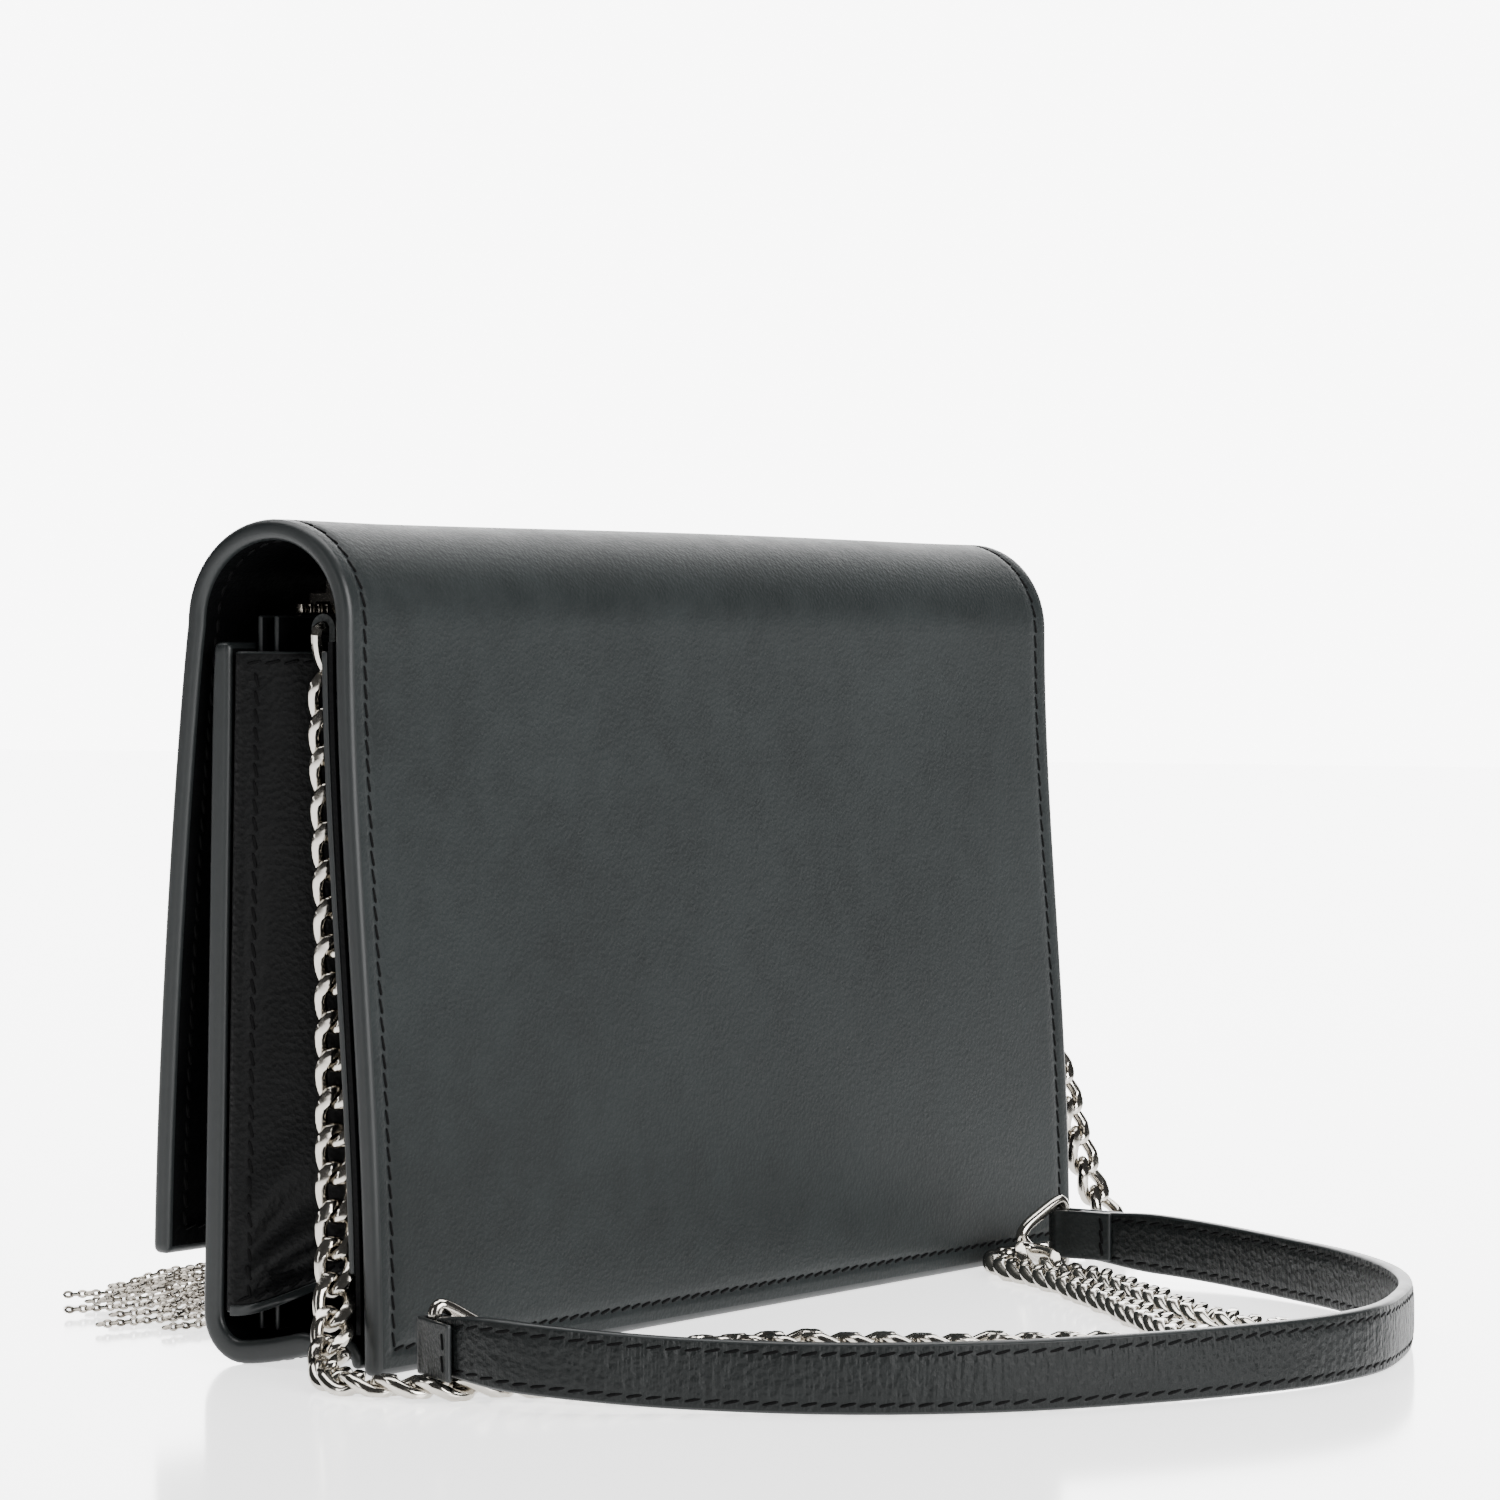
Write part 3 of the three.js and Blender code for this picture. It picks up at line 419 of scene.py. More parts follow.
UP = (0, 0, 1)
VIEW = (0.826, 0.563, 0)
chain_right = route([
    (89.4, 3, 97.6), (89.8, 3.5, 88), (90, 4.1, 75), (90, 4.5, 60), (90.2, 4.9, 45), (90.8, 5.4, 31),
    (92.2, 6.5, 20), (95.4, 8.8, 11.5), (100, 12, 5.6), (105.6, 16, 2.4), (109.8, 21.5, 1.8), (110.6, 27.5, 1.8),
    (108.9, 33.5, 1.8), (104.8, 39, 1.8), (99.8, 43.8, 1.8), (97.3, 50.5, 1.8), (95.8, 58, 1.8), (92.2, 65.8, 1.8),
    (86.8, 73.5, 1.8), (80.3, 80.8, 1.8), (72.3, 87.3, 1.8), (63, 93.3, 1.8), (53, 98.8, 1.8), (43, 103.6, 1.8),
    (32.5, 107.8, 1.8), (23, 108.5, 1.8), (16, 104, 1.8), (13.5, 96, 1.8), (16.5, 88, 1.8), (22.5, 81, 1.8),
    (28.5, 74, 1.8), (33.2, 66, 1.8), (37.5, 58, 1.8), (42.3, 50, 1.8), (49.5, 44.5, 1.8), (59, 42, 1.8),
    (70, 41.5, 1.8), (81, 40.6, 2.4), (89, 39.2, 4.6), (94.3, 37.4, 6.6),
])
chain_left = route([
    (-89.4, 3, 97.6), (-89.8, 3.5, 88), (-90, 4.1, 75), (-90.6, 4.9, 60), (-93.2, 6.5, 48), (-97.8, 8.6, 38),
    (-100.6, 11, 28), (-103, 12.5, 18.5), (-105, 14.2, 10.5), (-105.8, 17.6, 4.6), (-102.5, 21.6, 2),
    (-95, 23, 1.8), (-85, 21.8, 1.8), (-74, 20.3, 1.8), (-65.5, 20.8, 1.8), (-58.3, 25, 1.8), (-52, 32.6, 1.8),
    (-45.5, 41.6, 1.8), (-38, 50.8, 1.8), (-29.5, 60, 1.8), (-19.5, 70.5, 1.8), (-9, 81.2, 1.8), (0, 90.3, 1.8),
    (5, 98, 1.8), (3.8, 106.5, 1.8), (-3.5, 110.5, 1.8), (-10.5, 106, 1.8), (-12, 97, 1.8), (-16.5, 87.6, 1.8),
    (-25, 76.5, 1.8), (-34.5, 65.6, 1.8), (-43, 56, 1.8), (-50.5, 46.6, 1.8), (-55.3, 38.6, 1.8),
    (-57.2, 33.4, 2.7), (-57.4, 30, 4.8),
])
lay_chain("curb_chain_right", chain_right, [
    ((89.4, 3, 97), VIEW), ((90.8, 5.4, 31), VIEW), ((95.4, 8.8, 11.5), VIEW),
    ((105.6, 16, 2.4), UP), ((81, 40.6, 2.4), UP), ((94.3, 37.4, 6.6), (0.1, 0.8, 0.6)),
], "chain_right", at(89.4, 3, 97.6))
lay_chain("curb_chain_left", chain_left, [
    ((-89.4, 3, 97), (-0.42, 0.91, 0)), ((-90, 4.5, 60), (-0.2, 0.98, 0)), ((-97.8, 8.6, 38), (0.045, 0.999, 0)), ((-105, 14.2, 10.5), (0.2, 0.98, 0)),
    ((-102.5, 21.6, 2), UP), ((-55.3, 38.6, 1.8), UP), ((-57.4, 30, 4.8), (0.7, 0.3, 0.6)),
], "chain_left", at(-89.4, 3, 97.6))


# ---- shoulder pad ----
# A band on its edge: two leathers sewn together along both edges, softly padded, folded back at each end.
strap = route([
    (105.8, 36, 7.3), (107.5, 38.5, 7.6), (110, 45, 7.7), (109.6, 52.5, 7.2), (106, 61, 6.4), (100.7, 69, 5.6),
    (95.2, 77.5, 5.1), (89.5, 87.5, 4.9), (82.3, 98, 4.9), (72, 108, 4.9), (55.3, 118.3, 4.9), (41, 124.8, 4.9),
    (27, 128.8, 4.9), (12, 129.2, 4.9), (-3.5, 125, 4.9), (-18, 118.8, 4.9), (-30, 111, 4.9), (-40, 101.8, 4.9),
    (-48.5, 91.5, 4.9), (-54.8, 81, 5), (-59.6, 71.5, 5.2), (-63.2, 62.5, 5.5), (-65.5, 53, 5.9), (-66.8, 43.5, 6.2),
    (-67.4, 36.5, 6.5), (-67.5, 34, 6.6),
])
STRAP_HEIGHT = 0.0096
STRAP_END = 0.0077
STRAP_THICK = 0.0026
TAPER = 0.016


def strap_height(s):
    near_end = min(max(min(s, strap.length - s) / TAPER, 0.0), 1.0)
    return STRAP_END + (STRAP_HEIGHT - STRAP_END) * near_end * near_end * (3 - 2 * near_end)


def strap_point(s, across, out):
    """across runs from 0 at the lower edge to 1 at the upper one. out is 1 on the outer face, -1 on the inner."""
    ahead = strap.along(s, 0.002)
    side = Vector((ahead.y, -ahead.x, 0)).normalized()
    edge = abs(2 * across - 1)
    crown = 1 - 0.34 * edge ** 4
    crown -= 0.16 * max(0.0, 1 - abs(edge - 0.7) / 0.11)
    rumple = 1 + 0.03 * math.sin(s * 2900 + 3 * math.sin(s * 311)) * (1 - edge ** 3)
    return (strap.point(s) + side * (out * STRAP_THICK / 2 * crown * rumple)
            + Vector((0, 0, (across - 0.5) * strap_height(s))))


def strap_wrinkles(paint, where):
    """Fine creases that run across the band, and a pebbled grain between them."""
    u = paint.node("SeparateXYZ", "X", vector=where)
    stretched = paint.node("Mapping", vector=where, scale=(1.0, 0.16, 1.0))
    creases = paint.noise(stretched, 1100.0, 2.0, 0.5)
    return (creases - 0.5) * 1.1 + u * 0.0


strap_leather = leather_paint("strap_leather", (0.0036, 0.0046, 0.0046), grain=1050.0, depth=0.0006, gloss=0.17, roughness=0.42,
                              uv=True, wrinkles=strap_wrinkles)
strap_mesh = slab(
    "shoulder_pad", spread(0, 1, 18), spread(0, strap.length, 420),
    lambda u, v, w: strap_point(v, u, 1 - 2 * w), bevel=0.00055, segments=3,
    uv=lambda u, v: (v, u * STRAP_HEIGHT),
)
shoulder_pad = finish_mesh("shoulder_pad", strap_mesh, [strap_leather, edge_paint, strap_leather], "body")
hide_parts("strap_pad")


# ---- stitches ----
# One stitch is a short round-ended piece of thread, lying partly in the leather and slightly aslant.
def stitch_template(length=0.0023, width=0.0006):
    bm = bmesh.new()
    bmesh.ops.create_uvsphere(bm, u_segments=8, v_segments=6, radius=1.0)
    for v in bm.verts:
        x = math.copysign(abs(v.co.z) ** 0.62, v.co.z)
        v.co = Vector((x * length / 2, v.co.x * width / 2, v.co.y * width * 0.42 + 0.00012 * (x * x - 0.6)))
    return to_mesh("stitch", bm)


stitch = stitch_template()


def sew(name, seams, body, pitch=0.0026, slant=0.24):
    """Stitches along seams. Each seam is a list of points and the outward directions there."""
    matrices = []
    for points, normals in seams:
        line = Route(points)
        count = max(2, round(line.length / pitch))
        for i in range(count):
            s = (i + 0.5) * line.length / count
            spot = min(s / line.length, 1) * (len(normals) - 1)
            low = min(int(spot), len(normals) - 2)
            normal = normals[low].lerp(normals[low + 1], spot - low).normalized()
            ahead = line.along(s, 0.0008)
            ahead = (ahead - normal * ahead.dot(normal)).normalized()
            side = normal.cross(ahead)
            ahead = (ahead + side * slant).normalized()
            side = normal.cross(ahead)
            place = Matrix((ahead, side, normal)).transposed().to_4x4()
            place.translation = line.point(s)
            matrices.append(place)
    return finish_mesh(name, copies(name, stitch, matrices), [thread], body)


strap_seams = []
for out in (1, -1):
    for across in (0.15, 0.85):
        stops = [0.004 + (strap.length - 0.008) * i / 160 for i in range(161)]
        sides = []
        for s in stops:
            ahead = strap.along(s, 0.002)
            sides.append(Vector((ahead.y, -ahead.x, 0)).normalized() * out)
        strap_seams.append(([strap_point(s, across, out) for s in stops], sides))
strap_stitches = sew("strap_stitches", strap_seams, "body")
tuple(strap.point(0))
strap.path()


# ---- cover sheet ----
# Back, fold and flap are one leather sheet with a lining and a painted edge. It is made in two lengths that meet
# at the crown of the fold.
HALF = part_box("back_panel")[1].x
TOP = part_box("fold_rear_panel")[1].z * 1000
COVER = 0.003
SPRING = TOP - 14.6
CROWN = -3.3
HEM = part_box("flap_panel")[0].z


def bezier(a, b, c, d, count):
    points = []
    for i in range(count + 1):
        t = i / count
        ab, bc, cd = a.lerp(b, t), b.lerp(c, t), c.lerp(d, t)
        points.append(ab.lerp(bc, t).lerp(bc.lerp(cd, t), t))
    return points


back_line = bezier(at(0, 16.3, 0), at(0, 16.3, SPRING * 0.4), at(0, 11.3, SPRING * 0.68), at(0, 11.3, SPRING), 70)
fold_line = []
for i in range(1, 90):
    a = math.pi * i / 90
    reach = 14.6 if a < math.pi / 2 else 15.5
    fold_line.append(at(0, CROWN + reach * math.cos(a), SPRING + 14.6 * math.sin(a)))
flap_line = bezier(at(0, -18.8, SPRING), at(0, -20.7, SPRING - 13), at(0, -24.8, 47.9), at(0, -25.4, HEM * 1000), 60)
cover = Route(back_line + fold_line + flap_line)
crown_s = cover.nearest(at(0, CROWN, TOP))


def cover_inward(s):
    ahead = cover.along(s, 0.0012)
    return Vector((0, -ahead.z, ahead.y))


def cover_point(u, s, w):
    """u from -1 to 1 across the width."""
    x = u * HALF
    soft = 0.00022 * math.sin(x * 31 + s * 17) * math.sin(s * 23 + 1.3)
    edge_room = min(HALF - abs(x), s, cover.length - s)
    soft *= min(1.0, max(0.0, edge_room - 0.004) / 0.02)
    near_stitch = max(0.0, 1 - abs(edge_room - 0.0037) / 0.0011) * 0.00024
    inward = cover_inward(s)
    depth = COVER * w
    if w < 0.5:
        depth += soft + near_stitch
    return cover.point(s) + Vector((x, 0, 0)) + inward * depth


def across_stops(half, edge=0.0037):
    """Fractions of the half width, close together by the stitch line at each end."""
    near = [0, 0.0019, edge - 0.0011, edge - 0.0005, edge, edge + 0.0005, edge + 0.0011, 0.0065, 0.010, 0.016]
    inner = spread(0, half - 0.024, 9)
    stops = {round((half - e) / half, 6) for e in near} | {round(i / half, 6) for i in inner}
    return sorted({-s for s in stops} | stops)


def length_stops(start, end, step, hem=None):
    stops = spread(start, end, max(2, round(abs(end - start) / step)))
    if hem is not None:
        away = [0.0015, 0.0022, 0.0028, 0.0032, 0.0037, 0.0042, 0.0048, 0.0060]
        sign = 1 if hem < end or hem == start else -1
        stops = [s for s in stops if abs(s - hem) > 0.0065] + [hem] + [hem + sign * a for a in away]
    return sorted({round(s, 7) for s in stops})


def crease_lines(paint, where):
    """The groove that each row of stitches pulls into the leather, with small puckers along it."""
    x = paint.node("SeparateXYZ", "X", vector=where)
    s = paint.node("SeparateXYZ", "Y", vector=where)
    side = x.math("ABSOLUTE") * -1 + HALF
    groove = side.math("MINIMUM", s).band(0.0037, 0.0011)
    pucker = (s * 2416.6).math("SINE") * 0.5 + 0.5
    return groove * (pucker * 0.6 + 0.4) * -1.2


cover_leather = leather_paint("cover_leather", (0.0082, 0.0104, 0.0106), gloss=0.17, uv=True, edge_lines=crease_lines)
# Near-black, far darker than the outer leather: painted shade for the shaded inner face of the flap and fold.
cover_lining_painted_shade = leather_paint("cover_lining_painted_shade", (0.0009, 0.0010, 0.0012), gloss=0.05, roughness=0.5, uv=True)
cover_rear = finish_mesh("cover_back", slab(
    "cover_back", across_stops(HALF), length_stops(0.0, crown_s, 0.0015, hem=0.0), cover_point,
    bevel=0.0011, segments=4, sharp_ends=(round(crown_s, 7),), uv=lambda u, s: (u * HALF, s),
), [cover_leather, edge_paint, cover_lining_painted_shade])
cover_front = finish_mesh("cover_flap", slab(
    "cover_flap", across_stops(HALF), length_stops(crown_s, cover.length, 0.0015, hem=cover.length), cover_point,
    bevel=0.0011, segments=4, sharp_ends=(round(crown_s, 7),), uv=lambda u, s: (u * HALF, cover.length - s),
), [cover_leather, edge_paint, cover_lining_painted_shade])
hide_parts("back_panel", "back_lining", "fold_rear_panel", "fold_lining")
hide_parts("fold_front_panel", "flap_panel", "flap_lining")


def cover_seam(offset, start, end, sign, inner=False):
    """A line of stitches along one side of the sheet, between two places on its length."""
    count = max(4, round(abs(end - start) / 0.002))
    points, normals = [], []
    for i in range(count + 1):
        s = start + (end - start) * i / count
        inward = cover_inward(s)
        spot = cover.point(s) + Vector((sign * (HALF - offset), 0, 0))
        spot += inward * (COVER + 0.00005 if inner else 0.00020)
        points.append(spot)
        normals.append(inward if inner else -inward)
    return points, normals


def hem_seam(offset, s, inner=False):
    inward = cover_inward(s)
    spot = cover.point(s) + inward * (COVER + 0.00005 if inner else 0.00020)
    points = [spot + Vector((x, 0, 0)) for x in spread(-HALF + offset, HALF - offset, 60)]
    return points, [inward if inner else -inward] * len(points)


STITCH_IN = 0.0037
rear_seams = [cover_seam(STITCH_IN, STITCH_IN, crown_s, sign, inner) for sign in (1, -1) for inner in (False, True)]
rear_seams.append(hem_seam(STITCH_IN, STITCH_IN))
front_seams = [cover_seam(STITCH_IN, crown_s, cover.length - STITCH_IN, sign, inner)
               for sign in (1, -1) for inner in (False, True)]
front_seams += [hem_seam(STITCH_IN, cover.length - STITCH_IN, inner) for inner in (False, True)]
rear_stitches = sew("back_stitches", rear_seams, None)
front_stitches = sew("flap_stitches", front_seams, None)
for piece in (cover_rear, rear_stitches):
    at(0, 11.3, SPRING - 6)
    at(0, CROWN, TOP)
    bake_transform(piece)
for piece in (cover_front, front_stitches):
    at(0, CROWN, TOP)
    at(0, -18.8, SPRING - 6)
    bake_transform(piece)


# ---- front panel and base ----
# One piece of lined leather: up the front, round the foot, back along the base and down against the back.
BODY_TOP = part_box("front_base_panel")[1].z * 1000
PANEL_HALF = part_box("front_base_panel")[1].x
FOOT = 7.0


def front_y(z):
    return -16.3 + 2.1 * z / BODY_TOP


body_points = [at(0, front_y(z), z) for z in spread(BODY_TOP, FOOT, 12)]
foot_y = front_y(FOOT) + FOOT
for i in range(1, 41):
    a = math.pi + i / 40 * math.pi / 2
    body_points.append(at(0, foot_y + FOOT * math.cos(a), FOOT + FOOT * math.sin(a)))
hook_y = 16.3 - 3.0 - 0.3 - 1.9
for i in range(1, 9):
    body_points.append(at(0, foot_y + (hook_y - 3 - foot_y) * i / 8, 3.6 * (i / 8) ** 1.5))
for i in range(1, 7):
    a = (1 - i / 6) * math.pi / 2
    body_points.append(at(0, hook_y - 3 + 3 * math.cos(a), 0.6 + 3 * math.sin(a)))
body_line = Route(body_points)
hook_s = body_line.nearest(at(0, hook_y - 3, 3.6))


def body_point(u, s, w):
    ahead = body_line.along(s, 0.0008)
    thick = 0.0034 - 0.0015 * min(1.0, max(0.0, (s - hook_s + 0.006) / 0.005))
    lip = 0.0004 * math.exp(-s / 0.004)
    return (body_line.point(s) + Vector((u * PANEL_HALF, 0, 0))
            + Vector((0, -ahead.z, ahead.y)) * (thick * w + (lip if w < 0.5 else -lip * 0.5)))


panel_leather = leather_paint("panel_leather", (0.0085, 0.0105, 0.0107), gloss=0.19, uv=True)
front_panel = finish_mesh("front_panel", slab(
    "front_panel", across_stops(PANEL_HALF), length_stops(0.0, body_line.length, 0.0013, hem=0.0), body_point,
    bevel=0.0009, segments=4, uv=lambda u, s: (u * PANEL_HALF, s),
), [panel_leather, edge_paint, lining_leather], "body")
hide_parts("front_base_panel", "front_lining")


def body_seam(sign, inner):
    points, normals = [], []
    for i in range(81):
        s = 0.002 + (hook_s - 0.004) * i / 80
        inward = body_point(0, s, 1) - body_point(0, s, 0)
        inward.normalize()
        points.append(body_point(sign * (1 - 0.0035 / PANEL_HALF), s, 1 if inner else 0) - inward * (0 if inner else -0.00008))
        normals.append(inward if inner else -inward)
    return points, normals


body_top_seam = [body_point(u, 0.0035, 0) for u in spread(-0.96, 0.96, 40)]
sew("front_stitches", [body_seam(1, False), body_seam(-1, False), (body_top_seam, [Vector((0, -1, 0.02))] * 41)], "body")


# ---- gussets ----
# Thin leather folded inwards from the front panel to the back, with a raised, painted lower edge.
GUSSET_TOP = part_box("gusset_right")[1].z * 1000
GUSSET_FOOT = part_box("gusset_right")[0].z * 1000
GUSSET_BEND = 1.1
half_width = HALF * 1000


def back_y(z):
    heights = [p.z * 1000 for p in back_line]
    return float(np.interp(z, heights, [p.y * 1000 - shift for p in back_line]))


def gusset_front(z):
    return front_y(z) + 4.2


def gusset_back(z):
    return back_y(z) - 4.9


def bend_points(x, y, start, end, count=6):
    turns = [math.radians(start + (end - start) * i / count) for i in range(count + 1)]
    return [Vector((x + GUSSET_BEND * math.cos(a), y + GUSSET_BEND * math.sin(a), 0)) for a in turns]


gusset_a = gusset_front(GUSSET_TOP)
gusset_b = gusset_back(GUSSET_TOP)
outer_x = half_width - 0.3 - 0.5 - GUSSET_BEND
inner_x = half_width - 11.3 + GUSSET_BEND
lean = math.degrees(math.atan2(gusset_b - gusset_a - 2 * GUSSET_BEND, outer_x - inner_x))
gusset_line = Route([
    Vector((outer_x - 3.2, gusset_a, 0)), *bend_points(outer_x, gusset_a + GUSSET_BEND, -90, 90 - lean),
    *bend_points(inner_x, gusset_b - GUSSET_BEND, 270 - lean, 90), Vector((half_width - 0.3, gusset_b, 0)),
])


def gusset_point(side, u, v, w):
    p = gusset_line.point(u)
    ahead = gusset_line.along(u, 0.3)
    out = Vector((ahead.y, -ahead.x, 0))
    share = min(max((p.y - gusset_a - 2) / (gusset_b - gusset_a - 4), 0), 1)
    share = share * share * (3 - 2 * share)
    z = GUSSET_FOOT + (GUSSET_TOP - GUSSET_FOOT) * v + 7.0 * share * (1 - v)
    web = min(max((u - 6) / 3, 0), 1) * min(max((gusset_line.length - 12 - u) / 3, 0), 1)
    fan = math.atan2(z - 4, p.y + 13)
    reach = math.hypot(z - 4, p.y + 13)
    crease = 0.95 * math.sin(fan * 21 + 0.05 * reach) * math.exp(-((reach - 16) / 12) ** 2)
    slack = 0.5 * math.sin(v * 7 + 1) * math.sin(v * 2.6) - 0.35 * math.exp(-((z - 9) / 10) ** 2)
    p = p + out * (0.5 - w + web * (crease + slack))
    y = p.y + (gusset_front(z) - gusset_a) * (1 - share) + (gusset_back(z) - gusset_b) * share
    return at(side * p.x, y, z)


# Near-black, far darker than the outer leather: painted shade for the gusset, which lies in shade at the open end.
gusset_painted_shade_leather = leather_paint("gusset_painted_shade_leather", (0.0004, 0.0005, 0.0006), grain=1150.0, depth=0.0003, gloss=0.10)
for side, name in ((1, "right"), (-1, "left")):
    gusset_mesh = slab(
        "gusset_" + name + "_leather", spread(0, gusset_line.length, 64), spread(0, 1, 90),
        lambda u, v, w, side=side: gusset_point(side, u, v, w), bevel=0.0003, segments=2,
    )
    gusset = finish_mesh("gusset_" + name + "_leather", gusset_mesh, [gusset_painted_shade_leather, edge_paint, gusset_painted_shade_leather],
                         "body")
    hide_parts("gusset_" + name)
    seams = []
    for v, start, end in ((1 - 0.0165, 5.5, gusset_line.length - 1.0), (0.022, 5.5, gusset_line.length - 12)):
        stops = spread(start, end, 24)
        spots = [gusset_point(side, u, v, 0) for u in stops]
        outs = [(gusset_point(side, u, v, 0) - gusset_point(side, u, v, 1)).normalized() for u in stops]
        seams.append((spots, outs))
    spots = [gusset_point(side, 7.2, v, 0) for v in spread(0.02, 0.97, 50)]
    outs = [(gusset_point(side, 7.2, v, 0) - gusset_point(side, 7.2, v, 1)).normalized() for v in spread(0.02, 0.97, 50)]
    seams.append((spots, outs))
    sew("gusset_" + name + "_stitches", seams, "body")
    # A folded binding closes the gusset's lower edge.
    stops = spread(5.0, gusset_line.length - 9, 36)
    binding = slab(
        "gusset_" + name + "_binding", stops, spread(0, 1, 4),
        lambda u, v, w, side=side: gusset_point(side, u, -0.004 + 0.016 * v, 1.7 * w - 0.35), bevel=0.00045, segments=3,
    )
    finish_mesh("gusset_" + name + "_binding", binding, [edge_paint], "body")


# ---- inner pocket with its zip ----
def upright(name, node, paints, round_top=0.0003):
    """A leather wall in the place of a flat CAD one, with soft edges."""
    low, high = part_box(node)
    mesh = slab(
        name, spread(low.x, high.x, 40), spread(low.z, high.z, 30),
        lambda u, v, w: Vector((u, low.y + (high.y - low.y) * w, v)), bevel=round_top, segments=3,
    )
    piece = finish_mesh(name, mesh, paints, "body")
    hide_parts(node)
    return piece


for face in ("front", "back"):
    upright("pocket_" + face, "pocket_" + face + "_wall", [lining_leather, edge_paint, lining_leather])
tape_look = Paint("tape", (0.008, 0.008, 0.009), 0.85, sheen_weight=0.25)
tape_where = tape_look.place()
tape_look.bump(tape_look.node("TexWave", "Fac", vector=tape_where, scale=420.0, distortion=0.6), 0.7, 0.00012)
for node in ("zip_tape_front", "zip_tape_back"):
    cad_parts[node].data.materials[0] = tape_look.material

low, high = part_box("zip_teeth")
bm = bmesh.new()
bmesh.ops.create_cube(bm, size=1.0, matrix=Matrix.Diagonal((0.00085, (high.y - low.y) * 0.62, high.z - low.z, 1)))
bmesh.ops.bevel(bm, geom=bm.edges[:], offset=0.00018, segments=2, profile=0.5, affect="EDGES", material=-1)
tooth = to_mesh("tooth", bm)
teeth = []
for i in range(int((high.x - low.x) / 0.00095)):
    across = (high.y - low.y) * 0.19 * (1 if i % 2 else -1)
    teeth.append(Matrix.Translation((low.x + 0.0006 + i * 0.00095, (low.y + high.y) / 2 + across, (low.z + high.z) / 2)))
zip_teeth = finish_mesh("zip_teeth_row", copies("zip_teeth_row", tooth, teeth), [fine_nickel], "body")
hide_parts("zip_teeth")

# ---- card slips and back wall ----
for row in (1, 2, 3):
    node = "card_slip_%d" % row
    low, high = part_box(node)
    depth = 4.1 + 0.3 + (row - 1) * 1.0
    slip = slab(
        node + "_leather", spread(low.x, high.x, 36), spread(low.z, high.z, 24),
        lambda u, v, w, depth=depth: at(u * 1000, back_y(v * 1000) - depth - 0.7 * (1 - w), v * 1000),
        bevel=0.00022, segments=2,
    )
    slip_piece = finish_mesh(node + "_leather", slip, [lining_leather, edge_paint, lining_leather], "body")
    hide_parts(node)
    seam = [at(u * 1000, back_y(high.z * 1000 - 2.2) - depth - 0.72, high.z * 1000 - 2.2)
            for u in spread(low.x + 0.002, high.x - 0.002, 40)]
    centre = [at(0, back_y(z * 1000) - depth - 0.72, z * 1000) for z in spread(high.z - 0.003, high.z - 0.016, 6)]
    sew(node + "_stitches", [(seam, [Vector((0, -1, 0))] * 41), (centre, [Vector((0, -1, 0))] * 7)], "body")
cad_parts["back_wall"].data.materials[0] = lining_leather

# ---- metal parts that keep their CAD shape ----
for node in ("snap_socket", "snap_washer", "snap_stud", "zip_slider", "zip_puller",
             "anchor_ring_right", "anchor_ring_left"):
    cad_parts[node].data.materials[0] = nickel
for node in ("anchor_tab_right", "anchor_tab_left"):
    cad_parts[node].data.materials[0] = body_leather


# ---- badge on the flap ----
# A plain rounded bar with an eye below it.
low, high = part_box("badge")
BAR = 0.005
bar_z = high.z - BAR
bar_y = low.y + 0.0076 - 0.002 + 0.0001
bar = slab(
    "badge_bar", spread(-1, 1, 24), [math.sin(math.radians(a)) for a in range(-90, 91, 9)],
    lambda u, v, w: Vector((u * (high.x - BAR + math.sqrt(max(0.0, BAR ** 2 - (BAR * v) ** 2))),
                            bar_y + 0.002 * w - 0.0005 * (1 - w) * (1 - u ** 4) * (1 - v * v), bar_z + BAR * v)),
    bevel=0.0005, segments=3,
)
badge = finish_mesh("badge_bar", bar, [nickel], "flap")
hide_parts("badge")
eye_z = bar_z - BAR - 0.003
eye_y = low.y + 0.0038
eye_points = [(0, eye_y + 0.003 * math.cos(a), eye_z + 0.003 * math.sin(a))
              for a in (i * math.tau / 12 for i in range(12))]
finish_mesh("badge_eye", wire_ring("badge_eye", eye_points, (1, 0, 0), 0.0008), [nickel], "flap")


# ---- tassel ----
# A jump ring holds a bell-shaped cap, and fine cable chains fall from the cap and fan out on the floor.
low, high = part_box("tassel_link")
link_top = Vector((0, eye_y - 0.0004, high.z - 0.0008))
link_foot = Vector((0, low.y + 0.0008, low.z + 0.0008))
link_axis = (link_foot - link_top).normalized()
link_middle = (link_top + link_foot) / 2
link_half = (link_foot - link_top).length / 2
loop_points = [link_middle + Vector((1, 0, 0)) * link_half * math.cos(a) - link_axis * link_half * math.sin(a)
               for a in (i * math.tau / 12 for i in range(12))]
jump_ring = finish_mesh("tassel_jump_ring", wire_ring("tassel_jump_ring", loop_points, link_axis.cross(Vector((1, 0, 0))),
                                                      0.0008), [nickel], "tassel")
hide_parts("tassel_link")

